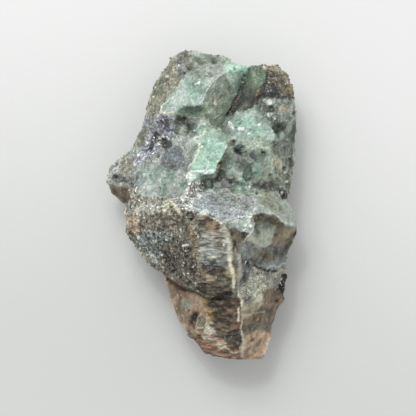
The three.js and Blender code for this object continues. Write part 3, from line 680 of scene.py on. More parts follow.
# %% The lines
LINES = [
    # painted highlight: a pale line along the crest of the wedge
    ("painted highlight on the wedge's crest", 0.25, 0.05, "frost", 0.4, [(3.9, 21.8), (2.5, 20.4), (1.2, 19.1), (0.9, 18.1),
     (0.2, 17.0), (-1.3, 16.4)]),
    ("cream end of the crest", 0.3, 0.08, "cream", 0.6, [(-4.3, 14.9), (-5.9, 15.0), (-7.0, 15.2),
     (-6.5, 16.2), (-5.1, 17.4)]),
    ("chip on the wedge", 0.32, 0.1, "white", 0.95, [(-0.7, 19.8), (-0.1, 20.0)]),
    ("long chip on the shelf", 0.45, 0.15, "white", 0.9, [(4.7, 13.7), (5.3, 12.6)]),
    ("round chip on the shelf", 0.5, 0.15, "white", 0.9, [(6.4, 12.2), (6.9, 12.2)]),
    ("cream streak of the facet", 0.25, 0.05, "cream", 0.7, [(2.3, 18.2), (2.4, 16.4)]),
    # painted shade: the slit at the top and the valley are cut and also painted dark
    ("painted shade in the slit at the top", 0.3, -0.5, "soot", 0.9, [(8.0, 23.1), (7.7, 22.4)]),
    ("valley", 0.3, -0.35, "lead", 0.8, [(7.7, 22.4), (7.0, 21.5), (6.6, 20.4), (6.3, 19.5), (5.7, 18.2),
     (5.0, 17.1), (4.6, 16.2), (4.1, 15.2)]),
    ("rose streak in the valley", 0.35, 0, "rose", 0.6, [(6.1, 18.4), (5.6, 17.6), (5.1, 17.0)]),
    ("rose streak of the slab", 0.4, 0, "rose", 0.6, [(9.6, 19.0), (9.0, 18.0)]),
    ("pale edge of the mint face", 0.3, 0.04, "cream", 0.6, [(-1.1, 6.7), (-0.5, 8.7), (-0.1, 11.0),
     (0.8, 12.6)]),
    ("white rim of the recess", 0.28, 0.05, "frost", 0.5, [(1.3, 13.3), (0.3, 14.3), (-0.3, 13.3),
     (-0.8, 12.0)]),
    ("first fracture", 0.22, 0.05, "white", 0.85, [(-0.9, 5.6), (-0.3, 5.5), (0.8, 5.6), (1.1, 6.2)]),
    ("second fracture", 0.22, 0.05, "white", 0.85, [(-0.2, 4.7), (0.8, 5.1), (1.5, 5.6)]),
    ("third fracture", 0.25, 0.05, "white", 0.85, [(0.6, 4.4), (1.9, 4.5)]),
    ("fourth fracture", 0.25, 0.05, "frost", 0.85, [(2.9, 3.2), (3.6, 4.0)]),
    ("fifth fracture", 0.25, 0.05, "white", 0.8, [(-2.3, 6.0), (-1.7, 6.7)]),
    ("white hairline of the green mass", 0.22, 0.05, "frost", 0.5, [(-6.7, 5.3), (-6.9, 3.9),
     (-6.6, 2.6), (-6.8, 1.7)]),
    ("olive seam of the mint face", 0.28, -0.15, "olive", 0.7, [(3.0, 6.4), (3.5, 7.2), (4.2, 8.6),
     (4.7, 9.8), (5.0, 10.4)]),
    ("dark line in the basin", 0.2, -0.1, "moss", 0.5, [(6.3, 8.8), (7.4, 8.6), (8.2, 9.2), (9.1, 9.5)]),
    ("yellow vein", 0.26, 0.08, "cream", 0.7, [(4.1, 2.5), (4.8, 1.8), (5.9, 1.1), (7.0, 1.3)]),
    ("yellow tint of the vein", 0.25, 0, "ochre", 0.5, [(4.7, 2.0), (6.1, 1.0)]),
    # painted highlights: bright lines along the front edges of the ledge
    ("painted highlight on the ledge's edge", 0.28, 0.05, "frost", 0.7, [(-1.1, -0.7), (-0.3, -1.0), (1.1, -1.8),
     (2.1, -2.5), (3.2, -3.1)]),
    ("painted highlight on the edge over the stub", 0.28, 0.06, "frost", 0.7, [(3.7, -2.3), (4.7, -2.2), (6.3, -1.9),
     (8.0, -1.6)]),
    ("painted highlight on the undercut's edge", 0.3, 0.06, "silver", 0.8, [(9.9, -1.1), (11.3, -1.4), (12.4, -1.9),
     (13.5, -2.7), (15.2, -3.1)]),
    # painted highlights: white lines along the rim and the lower edge of the stub
    ("painted highlight on the stub's rim", 0.26, 0.06, "white", 0.85, [(8.1, -2.0), (8.5, -2.7), (8.3, -3.8), (7.5, -5.2),
     (6.8, -6.0)]),
    ("painted highlight on the stub's lower edge", 0.25, 0.05, "white", 0.7, [(6.0, -4.2), (6.9, -4.4), (8.0, -4.4)]),
    ("arc of the olive facet", 0.3, 0.05, "bone", 0.6, [(9.1, -6.5), (9.9, -6.9), (10.9, -6.8),
     (11.8, -6.0)]),
    ("upper cream vein", 0.7, 0.03, "bone", 0.6, [(3.7, -2.9), (4.0, -4.4), (4.4, -6.2), (4.6, -7.7),
     (4.7, -9.1)]),
    ("white part of the cream vein", 0.58, 0.05, "cream", 0.8, [(4.5, -9.0), (4.7, -10.2), (5.0, -11.4),
     (5.3, -12.8), (5.6, -14.6)]),
    ("sand side of the vein", 0.7, 0, "bone", 0.7, [(5.5, -7.6), (6.0, -9.0), (6.1, -10.3),
     (5.9, -12.3)]),
    ("olive side of the vein", 0.4, 0, "olive", 0.6, [(5.0, -9.8), (5.5, -11.0), (5.8, -12.5)]),
    ("grey foot of the vein", 0.5, 0, "ash", 0.7, [(6.2, -12.9), (6.1, -14.0), (5.6, -15.0),
     (5.0, -15.4)]),
    ("middle of the vein", 0.45, 0.1, "cream", 0.85, [(6.2, -15.0), (6.8, -15.9), (6.9, -16.9)]),
    ("thin vein", 0.34, 0.08, "cream", 0.8, [(6.3, -17.3), (6.5, -18.1), (6.5, -19.0)]),
    ("lower vein", 0.36, 0.08, "bone", 0.75, [(7.0, -19.0), (6.8, -20.1), (7.0, -21.3), (6.9, -22.5)]),
    ("foot of the vein", 0.6, 0.05, "bone", 0.7, [(6.9, -22.5), (6.8, -23.9), (6.7, -25.7)]),
    # painted shade: the crack is cut and also painted dark
    ("crack", 0.24, -0.35, "soot", 0.9, [(8.5, -9.8), (9.7, -10.4), (11.2, -10.9), (12.6, -11.2)]),
    ("pale lip of the crack", 0.28, 0.08, "silver", 0.7, [(10.7, -10.4), (11.9, -10.1), (12.4, -10.6),
     (13.8, -9.8)]),
    ("diagonal seam", 0.35, 0.05, "bone", 0.7, [(8.5, -10.4), (9.0, -11.6), (9.8, -12.8),
     (10.4, -14.0)]),
    ("pale line of the tail", 0.2, 0.05, "bone", 0.7, [(7.2, -18.4), (8.6, -18.0), (10.5, -18.0)]),
    ("fold of the tail", 0.3, 0.1, "ochre", 0.7, [(-0.9, -14.4), (0.1, -15.2), (0.7, -16.6),
     (1.1, -17.9), (1.3, -19.4)]),
    ("pale fold of the tail", 0.3, 0.1, "bone", 0.7, [(1.3, -18.7), (1.6, -19.6), (2.4, -20.7),
     (2.8, -21.5)]),
    ("ring round the lump", 0.22, 0.1, "bone", 0.8, [(-0.6, -19.9), (-0.5, -19.0), (0.2, -18.4),
     (1.0, -18.9), (0.9, -20.1), (0.2, -20.7), (-0.4, -20.5)]),
    ("pale arc", 0.26, 0.1, "bone", 0.8, [(3.8, -23.2), (4.4, -24.0), (5.1, -24.5), (5.8, -24.3)]),
    ("rose foot line", 0.3, 0.05, "rose", 0.7, [(0.8, -24.6), (2.8, -24.8), (4.5, -24.9), (6.0, -25.5)]),
    ("cream band on the block", 0.5, 0.15, "cream", 0.85, [(-5.0, 0.4), (-4.4, -0.3), (-3.5, -1.3)]),
    ("pale chip on the block", 0.32, 0.12, "white", 0.9, [(-3.1, -6.9), (-2.2, -6.8)]),
    ("pale rim of the block", 0.25, 0.05, "silver", 0.6, [(-4.9, -11.8), (-3.9, -12.7), (-2.8, -13.4)]),
    ("shadow under the block", 0.5, -0.25, "soot", 0.7, [(-7.9, -11.2), (-6.1, -12.2), (-4.3, -13.4),
     (-2.4, -14.1), (-0.9, -14.5), (1.1, -15.5), (3.0, -15.7), (5.0, -15.5)]),
    ("cream edge by the layers", 0.35, 0.05, "cream", 0.6, [(1.1, -8.7), (2.1, -8.5), (3.0, -8.6)]),
    ("line over the pale layers", 0.25, 0.05, "cream", 0.6, [(0.4, -6.0), (1.9, -5.8), (3.6, -5.8)]),
    ("dark line of the layers", 0.25, -0.15, "soot", 0.7, [(-0.3, -5.7), (0.9, -6.0), (2.4, -5.7),
     (3.8, -5.5)]),
    ("second dark line", 0.22, -0.15, "soot", 0.6, [(0.9, -11.3), (2.1, -10.7), (3.8, -10.8)]),
    ("third dark line", 0.22, -0.15, "soot", 0.6, [(-0.3, -13.0), (1.4, -13.1), (3.0, -12.5)]),
]
print(len(LINES), "lines are drawn")

# %% [markdown]
# ## Grains and pits
#
# Single grains and holes come in groups. A group has its name, how far its grains stand out (or how
# deep they are), a tint with the share that it covers, and the place and width of each grain.

# %% The grains and pits
SPOTS = [
    ("bright grains", 0.12, "white", 0.9, [(-4.5, 14.1, 0.45), (-5.3, 14.1, 0.3), (-8.0, 12.7, 0.35),
     (-7.1, 12.2, 0.3), (-6.4, 11.4, 0.35), (-6.9, 11.0, 0.3), (-5.4, 11.0, 0.35), (-7.4, 19.6, 0.35),
     (-7.9, 17.9, 0.35), (-6.1, 20.0, 0.3), (-5.5, 21.2, 0.35), (-4.7, 17.6, 0.35), (-4.3, 24.4, 0.4),
     (-2.3, 25.1, 0.4), (-3.9, 22.9, 0.35), (-6.9, 9.9, 0.35), (-9.1, 10.3, 0.45), (-10.6, 8.2, 0.35),
     (-8.8, 8.0, 0.35), (-9.7, 7.6, 0.4), (-11.0, 6.7, 0.4), (-10.4, 5.6, 0.3), (-9.5, 4.8, 0.35),
     (-9.4, 2.7, 0.3), (0.0, 9.3, 0.35), (4.2, 9.2, 0.4), (1.2, 10.3, 0.3), (0.4, 7.7, 0.3),
     (8.1, 3.2, 0.45), (13.8, 5.4, 0.35), (14.0, 3.9, 0.4), (13.1, 2.9, 0.35), (12.7, 2.0, 0.3),
     (13.4, 1.9, 0.35), (4.2, 21.0, 0.3), (11.5, 16.6, 0.75), (9.7, 13.0, 0.45), (12.1, 14.0, 0.35),
     (11.3, 14.7, 0.5), (7.8, 11.5, 0.3), (-10.5, -5.5, 0.35), (-8.0, -0.3, 0.4), (-1.7, 0.2, 0.5),
     (-3.1, 0.4, 0.45), (-3.8, 0.8, 0.4), (-9.7, -6.6, 0.3), (-9.0, -8.3, 0.3), (-6.0, -4.7, 0.3),
     (-4.8, -5.1, 0.3), (3.5, -6.6, 0.4), (3.2, -3.2, 0.4), (5.8, -1.8, 0.45), (7.1, -9.6, 0.35),
     (10.1, -11.9, 0.3), (7.9, -3.5, 0.35)]),
    # painted shade: pits and faint hollows are carved and also painted dark
    ("pits with painted shade", -0.45, "soot", 0.85, [(-2.7, 21.7, 0.4), (-11.7, 3.0, 0.5), (-14.4, 4.7, 0.5),
     (-7.1, 8.0, 0.35), (4.1, 15.1, 0.5), (11.7, 15.7, 0.6), (15.4, 15.2, 0.4), (5.5, 10.2, 0.4),
     (6.0, 8.5, 0.6), (7.7, 5.6, 0.5), (14.3, 7.5, 0.4), (13.6, 6.0, 0.3), (13.5, 1.4, 0.7),
     (3.1, 6.6, 0.4), (4.8, 3.4, 0.35), (9.9, 8.3, 0.3), (9.2, 1.7, 0.35), (-4.6, -5.9, 0.4),
     (-5.1, -0.5, 0.35), (-2.1, -1.8, 0.35), (-1.6, -2.6, 0.35), (-2.6, -8.9, 0.35), (-5.9, -8.8, 0.35),
     (-4.8, -11.0, 0.35), (-2.1, -13.0, 0.35), (-2.9, -0.6, 0.4), (7.5, -9.8, 0.3), (9.4, -11.3, 0.35),
     (-0.9, -18.7, 0.4), (0.3, -19.1, 0.3), (2.5, -18.5, 0.3), (12.7, -16.0, 0.5)]),
    ("faint hollows with painted shade", -0.25, "lead", 0.5, [(2.2, 23.7, 0.7), (-2.0, 22.5, 0.8), (6.4, 13.3, 0.5),
     (-1.9, 22.6, 0.6), (-14.4, 6.8, 0.6), (-10.8, 4.3, 0.5), (2.6, 4.0, 0.5), (11.2, 4.8, 0.5),
     (12.4, -4.9, 0.6), (10.7, -8.6, 0.8), (-4.1, -13.8, 0.6), (-2.1, -17.7, 0.5), (11.0, -17.8, 0.7),
     (8.6, -22.5, 0.6)]),
    ("rust stains", 0.05, "rust", 0.6, [(-10.8, -2.4, 0.4), (-11.5, -4.7, 0.5), (-10.7, -6.4, 0.4),
     (-11.6, -2.4, 0.35), (1.0, -2.1, 0.5), (-2.8, -14.6, 0.5), (0.1, -17.7, 0.4), (9.2, 18.4, 0.35),
     (-4.9, -7.6, 0.4), (8.7, -8.6, 0.4)]),
    ("ochre grains", 0.1, "ochre", 0.8, [(-6.1, 8.9, 0.35), (-12.4, -2.7, 0.4), (-10.3, -4.0, 0.45),
     (-11.0, 0.6, 0.35), (-4.2, -17.4, 0.45), (9.4, -19.1, 0.5), (7.7, -9.3, 0.3), (14.4, 19.3, 0.5),
     (11.2, 23.1, 0.4)]),
]
print(sum(len(group[-1]) for group in SPOTS), "grains and pits are placed")

# %% [markdown]
# ## How deep inside
#
# To paint a patch, each point of the skin has to know how deep inside its outline it lies, and for a
# line how far away it is. The distance to the nearest stretch between two drawn points gives both. It
# is exact at any scale, and it makes soft edges easy, because a colour can fade over it.


# %% Distances to outlines and lines
def nearest_on(spots, start, end):
    """How far the spots are from the stretch between two points: each spot is dropped at a right
    angle onto the stretch, or onto its nearer end."""
    along = end - start
    share = np.clip((spots - start) @ along / (along @ along), 0, 1)
    return np.linalg.norm(spots - start - share[:, None] * along, axis=1)


def depth_inside(spots, outline):
    """How deep the spots are inside an outline, in mm, and below zero outside: the distance to its
    nearest side, with its sign from how often a ray to the right crosses the outline."""
    corners = np.array(outline)
    inside = np.zeros(len(spots), bool)
    nearest = np.full(len(spots), np.inf)
    for start, end in zip(corners, np.roll(corners, -1, axis=0)):
        nearest = np.minimum(nearest, nearest_on(spots, start, end))
        spans = (start[1] > spots[:, 1]) != (end[1] > spots[:, 1])
        slope = (end[0] - start[0]) / ((end[1] - start[1]) or 1e-9)
        inside ^= spans & (spots[:, 0] < start[0] + (spots[:, 1] - start[1]) * slope)
    return np.where(inside, nearest, -nearest)


def line_distance(spots, line):
    """How far the spots are from a line of points, in mm."""
    corners = np.array(line)
    return np.min([nearest_on(spots, a, b) for a, b in zip(corners, corners[1:])], axis=0)


def grain_distance(spots, x, y):
    """How far the spots are from a grain's middle, in mm."""
    return np.linalg.norm(spots - (x, y), axis=1)


square = [(0, 0), (2, 0), (2, 2), (0, 2)]
print("a square of 2 mm is", depth_inside(np.array([[1.0, 1.0]]), square)[0], "mm deep in its middle")

# %% [markdown]
# ## Colour and kind of every point
#
# A patch's edge wanders, because grains do not end on straight lines: the map is read through a small
# random shift. Inside a patch each point is somewhere between its dark and its light tint. How
# fast that changes depends on the kind of stone: broad clouds in beryl, single grains in mica, and
# thin stripes in the layers. The map only covers what is seen from above. The sides and the
# underside are plain schist, with clouds of beryl and rusty stains in it.

# %% Light and dark grains
LAYER_DIRECTION = np.array([0.10, 1.0, -0.25])
LAYER_STRETCH = 0.35  # how much slower the layers change along the sheets
LAYER_WAVE = 0.40  # mm that the sheets are bent
GRAIN = 0.46  # mm across a coarse grain
FINE_GRAIN = 0.30  # mm across a fine one


def stripes(points):
    """Layers from 0 to 1: noise that is stretched along the sheets, and changes fast across them."""
    across = points @ (LAYER_DIRECTION / np.linalg.norm(LAYER_DIRECTION))
    wavy = across + LAYER_WAVE * layered_noise(points, 2.0, 300, 3)
    squeezed = np.stack([points[:, 0] * LAYER_STRETCH, points[:, 2] * LAYER_STRETCH, wavy], axis=1)
    return rise(layered_noise(squeezed, 0.55, 310, 4), -0.9, 0.9)


def mottles(points):
    """For each kind of stone, how light its grains are, from 0 to 1: a sum of broad clouds, coarse
    grains and fine grains, each with the weight that suits the kind."""
    clouds = layered_noise(points, 1.6, 320, 4)
    fine = nearest_grain(points, FINE_GRAIN, 340)[1][:, 0]
    speck = fine - 0.5
    coarse = nearest_grain(points, GRAIN, 330)[1][:, 0] - 0.5
    return {
        "beryl": rise(clouds + 0.7 * speck, -1.2, 1.2),
        "schist": rise(0.5 * clouds + 0.6 * coarse + 0.5 * speck, -1.0, 1.0),
        "mica": np.clip(0.45 + 0.2 * clouds + 0.5 * coarse + 0.5 * speck, 0, 1),
        "layers": np.clip(0.70 * stripes(points) + 0.30 * fine, 0, 1),
        "film": rise(clouds + 0.4 * coarse, -0.9, 0.9),
    }


light = mottles(skin)
print("the lightest grains are those of", max(light, key=lambda kind: light[kind].mean()))

# %% The sides and the underside
GREEN = (0.28, 0.45)  # the noise over which schist turns to beryl
GREEN_RISE = 0.012  # more of it for each mm towards the head
RUSTY = (0.35, 0.75)  # the noise over which a rusty film lies on it
RUST_COVER = 0.8
RUST_FILM = 0.7  # the share of a film in a rusty stain
GLITTER = (-0.05, 0.15)  # the noise over which it turns to mica


def mixed(under, over, share):
    """One set of colours laid over another."""
    return under + (over - under) * share[:, None]


def unseen(points, light):
    """The colours and kinds of the sides and the underside. Schist drifts between brown and grey, and
    beryl, rust and mica each show where a noise of their own is high."""
    drift = rise(smooth_noise(points, 3.0, 380), -0.3, 0.3)
    dark = mixed(LIGHT["umber"], LIGHT["lead"], drift)
    pale = mixed(LIGHT["bone"], LIGHT["silver"], drift)
    colour = mixed(dark, pale, light["schist"])
    green = rise(layered_noise(points, 6.0, 350) + GREEN_RISE * points[:, 1], *GREEN)
    colour = mixed(colour, mixed(LIGHT["moss"], LIGHT["sage"], light["beryl"]), green)
    rusty = rise(layered_noise(points, 4.0, 390), *RUSTY) * (1 - green)
    colour = mixed(colour, mixed(LIGHT["brick"], LIGHT["sand"], light["film"]), RUST_COVER * rusty)
    film = RUST_FILM * rusty
    mica = rise(smooth_noise(points, 5.0, 395), *GLITTER) * (1 - green) * (1 - rusty)
    none = np.zeros(len(points))
    kinds = {"beryl": green, "schist": 1 - green - mica - film, "mica": mica, "layers": none, "film": film}
    return colour, kinds


unseen_colour, unseen_kinds = unseen(skin, light)
print(f"beryl is {unseen_kinds['beryl'].mean():.0%} of the unseen stone")

# %% Paint the map onto the skin
GAP = 1.2  # mm between two outlines that the nearer patch fills
BLUR = {"beryl": 0.15, "schist": 0.20, "mica": 0.20, "layers": 0.20, "film": 0.35}  # mm at an edge
MAP_FOOT = (3.0, 5.5)  # mm above the table over which the map fades in
FOOT_WANDER = 2.5  # mm that this height wanders
EDGE_WANDER = 0.18  # mm that the outlines wander
STEEP_WANDER = 1.5  # mm more where the skin is steep
FACING_UP = (0.05, 0.35)  # the upward share of its direction over which the skin shows lines


def turn_into(kinds, kind, share):
    """Gives one kind of stone this share of each point, and takes it from all kinds alike."""
    for other in KINDS:
        kinds[other] = kinds[other] * (1 - share) + (other == kind) * share


def painted(points, light, upright, colour, kinds):
    """Every point's colour and its share of each kind of stone, laid over those given. `upright` is 1
    where the skin faces up and 0 where it is steep: there the map would be drawn out into stripes, so
    it wanders more."""
    steep = 1 - rise(upright, 0.0, 0.3)[:, None]
    wander = np.stack([layered_noise(points, 1.1, seed) for seed in (360, 370)], axis=1)
    sway = np.stack([layered_noise(points, 2.8, seed) for seed in (362, 372)], axis=1)
    spots = points[:, :2] + EDGE_WANDER * wander + STEEP_WANDER * steep * sway
    seen = rise(points[:, 2] + FOOT_WANDER * layered_noise(points, 5.0, 374), *MAP_FOOT)
    depths = np.array([depth_inside(spots, outline) for *_, outline in PATCHES])
    depths[depths.argmax(axis=0), np.arange(len(points))] += GAP
    for depth, (_, kind, dark, pale, level, _) in zip(depths, PATCHES):
        share = rise(depth, -BLUR[kind], BLUR[kind]) * seen
        colour = mixed(colour, level * mixed(LIGHT[dark], LIGHT[pale], light[kind]), share)
        turn_into(kinds, kind, share)
    drawn = seen * rise(upright, *FACING_UP)
    for name, width, _, tint, cover, line in LINES:
        gap = line_distance(spots, line) + 0.20 * width * (light["mica"] - 0.5)
        share = (1 - rise(gap, 0.2 * width, 0.7 * width)) * cover * drawn
        colour = mixed(colour, LIGHT[tint], share)
        if "vein" in name:  # quartz in a vein is as smooth as a film
            turn_into(kinds, "film", share)
    for _, _, tint, cover, grains in SPOTS:
        for x, y, width in grains:
            gap = grain_distance(spots, x, y)
            share = (1 - rise(gap, 0.25 * width, 0.75 * width)) * cover * drawn
            colour = mixed(colour, LIGHT[tint], share)
    return colour, kinds


colour, kinds = painted(skin, light, outward(stone.data)[:, 2], unseen_colour, unseen_kinds)
for kind in KINDS:
    print(f"{kind}: {kinds[kind].mean():.0%} of the skin")

# %% [markdown]
# ## Hollows and crests
#
# Hollows are painted darker, as shade, and crests paler, as a painted highlight, and crests are also
# chipped. Both show how the skin lies against a smoothed copy of itself: where the copy stands proud
# there is a hollow, and where it lies below there is a crest. The copy moves each vertex to the mean of
# its neighbours many times over.


# %% Measure hollows and crests
EDGE_TIMES = 12  # how often the copy is smoothed to find crests to chip
EDGE_FULL = 0.20  # mm, the depth of a full hollow or crest then


def smoothed(mesh, points, times):
    """Each vertex moved to the mean of its neighbours, again and again."""
    ends = np.empty(2 * len(mesh.edges), np.int32)
    mesh.edges.foreach_get("vertices", ends)
    one, other = ends.reshape(-1, 2).T
    count = np.bincount(one, minlength=len(points)) + np.bincount(other, minlength=len(points))
    for _ in range(times):
        total = np.empty_like(points)
        for axis in range(3):
            total[:, axis] = np.bincount(one, points[other, axis], len(points))
            total[:, axis] += np.bincount(other, points[one, axis], len(points))
        points = total / count[:, None]
    return points


def hollows(mesh, times, full):
    """From -1 on a crest to 1 in a hollow that is `full` mm deep."""
    points = points_of(mesh)
    proud = ((smoothed(mesh, points, times) - points) * outward(mesh)).sum(axis=1)
    return np.clip(proud / full, -1, 1)


edges = hollows(stone.data, EDGE_TIMES, EDGE_FULL)
print(f"{(edges < -0.5).mean():.0%} of the skin is on a crest")

# %% [markdown]
# ## Relief
#
# The skin is carved in three passes, coarse to fine, and each pass moves the points along the way
# that the skin then faces. First the straight edges are made to wander. Then each kind of stone gets
# its own break: wide tilted facets in beryl, coarse grains in mica, steps in the layers, low humps
# in the films, chips off every crest, and broken faces on the steep sides. Last come the lines,
# grains and pits. The parting face stays flat, so the stone still lies on the table, and nothing
# leaves the solid's box.

# %% Carve the relief
WANDER = 0.22  # mm that the coarse shape wanders
SHAPES = {  # mm that each shape of break stands out, by the kind of stone
    "beryl": {"faces": 0.26, "blocks": 0.12, "splinters": 0.14},
    "schist": {"blocks": 0.16, "humps": 0.08, "splinters": 0.18, "plates": 0.16},
    "mica": {"blocks": 0.22, "humps": 0.10, "splinters": 0.18, "plates": 0.30},
    "layers": {"blocks": 0.12, "splinters": 0.08, "steps": 0.30},
    "film": {"humps": 0.05, "faces": 0.15, "splinters": 0.08},
}
CHIP_DEPTH = 0.38  # mm that a crest loses where it is chipped
SIDE_FACES = (0.55, 0.22)  # mm that wide and narrow faces on the steep sides stand out or in
LIFT = (0.05, 1.5)  # mm above the table over which the relief sets in
CARVED_UP = (0.05, 0.45)  # the upward share of its direction over which lines are cut
MARGIN = 0.02  # mm that the stone stays inside the solid's box
FLAT_BELOW = 0.04  # mm: what is lower belongs to the parting face


def wandered(points, lift):
    """The points shifted by three smooth noises, one for each direction."""
    shift = np.stack([layered_noise(points, 5.0, seed, 2) for seed in (400, 410, 420)], axis=1)
    return points + WANDER * shift * lift[:, None]


def breaks(points, kinds, edges):
    """How far each point stands out: for each kind of stone the sum of its shapes, less the chips."""
    _, numbers, border = nearest_grain(points, 0.55, 470)
    shapes = {
        "faces": facets(points, 3.6, 1.8, 450),
        "blocks": facets(points, 2.6, 1.5, 440),
        "splinters": facets(points, 1.2, 0.62, 460),
        "humps": layered_noise(points, 1.5, 430),
        "plates": (numbers[:, 1] - 0.5) * rise(border, 0.0, 0.12),
        "steps": stripes(points) - 0.5,
    }
    chipped = rise(-edges, 0.3, 1.0) * rise(layered_noise(points, 1.1, 480), -0.3, 0.5)
    total = -CHIP_DEPTH * chipped
    for kind, parts in SHAPES.items():
        total += kinds[kind] * sum(height * shapes[shape] for shape, height in parts.items())
    return total


def side_faces(points):
    """Broken faces of two sizes for the steep sides."""
    sizes = ((4.0, 2.4, 490), (1.8, 0.9, 500))
    return sum(height * facets(points, *size) for height, size in zip(SIDE_FACES, sizes))


def drawn_relief(points):
    """How far the lines, grains and pits stand out: a smooth bank on each side of a line, and a round
    dome or bowl for a grain or a pit."""
    height = np.zeros(len(points))
    spots = points[:, :2]
    for _, width, stands, _, _, line in LINES:
        if stands:
            height += stands * (1 - rise(line_distance(spots, line), 0.1 * width, 0.7 * width))
    for _, stands, _, _, grains in SPOTS:
        for x, y, width in grains:
            height += stands * (1 - rise(grain_distance(spots, x, y), 0, width))
    return height


def kept_in_box(points):
    """The points pushed back into the solid's box, and the underside made flat."""
    points = np.clip(points, lowest + [MARGIN, MARGIN, 0], highest - MARGIN)
    points[points[:, 2] < FLAT_BELOW, 2] = 0
    return points


def carve(mesh, points, kinds, edges):
    """Moves the skin through all three passes."""
    lift = rise(points[:, 2], *LIFT)
    facing_up = rise(outward(mesh)[:, 2], *CARVED_UP)
    drawn = drawn_relief(points) * facing_up * rise(points[:, 2], *MAP_FOOT)  # mapped side only
    height = (breaks(points, kinds, edges) + side_faces(points) * (1 - facing_up)) * lift
    move_points(mesh, kept_in_box(wandered(points, lift)))
    for step in (height, drawn):
        now = points_of(mesh)
        move_points(mesh, kept_in_box(now + outward(mesh) * step[:, None]))


carve(stone.data, skin, kinds, edges)
print("the carved stone is", np.round(np.ptp(points_of(stone.data), axis=0), 1), "mm")

# %% [markdown]
# ## What the skin carries
#
# The colours, the kinds of stone and the hollows are kept on the mesh as attributes: one value for
# each vertex. A material can read them by name, and they need no unwrapped map. The faces are shaded
# flat, because a fresh break has sharp facets and not soft ones.

# %% Keep the colours, kinds and hollows on the skin
MATERIAL_KINDS = ("beryl", "mica", "layers", "film")  # what is none of these is schist
SHADE_TIMES = 24  # how often the copy is smoothed to find the hollows that are painted darker as shade
SHADE_FULL = 0.25  # mm, the depth of a full hollow then


def store(mesh, name, values):
    """Keeps one number for each vertex, or one colour, as an attribute that materials can read."""
    if values.ndim == 1:
        mesh.attributes.new(name, "FLOAT", "POINT").data.foreach_set("value", values)
        return
    opaque = np.column_stack([values, np.ones(len(values))])
    mesh.attributes.new(name, "FLOAT_COLOR", "POINT").data.foreach_set("color", opaque.ravel())


store(stone.data, "tint", colour)
# the hollows: the material paints them darker as shade, and the crests paler as a highlight
store(stone.data, "hollow", hollows(stone.data, SHADE_TIMES, SHADE_FULL))
for kind in MATERIAL_KINDS:
    store(stone.data, kind, kinds[kind])
stone.data.shade_flat()
print("the skin carries", [a.name for a in stone.data.attributes if not a.is_internal])

# %% [markdown]
# ## Materials written as sums
#
# A material is a graph of nodes, but most of it is arithmetic, and reads best as such. A small class
# wraps one socket, so that `1 - mask` or `a * b` adds the Math node that it says. Every other node
# comes from one method: its type, its settings, and what goes into its sockets.


# %% A wrapped socket, and a recipe that makes nodes
class Wire:
    """One socket's value inside a material."""

    def __init__(self, recipe, socket):
        self.recipe = recipe
        self.socket = socket

    def math(self, operation, one, other):
        return self.recipe.node("ShaderNodeMath", {"operation": operation}, {0: one, 1: other})

    def __add__(self, other):
        return self.math("ADD", self, other)

    def __sub__(self, other):
        return self.math("SUBTRACT", self, other)

    def __rsub__(self, other):
        return self.math("SUBTRACT", other, self)

    def __mul__(self, other):
        return self.math("MULTIPLY", self, other)

    __radd__ = __add__
    __rmul__ = __mul__


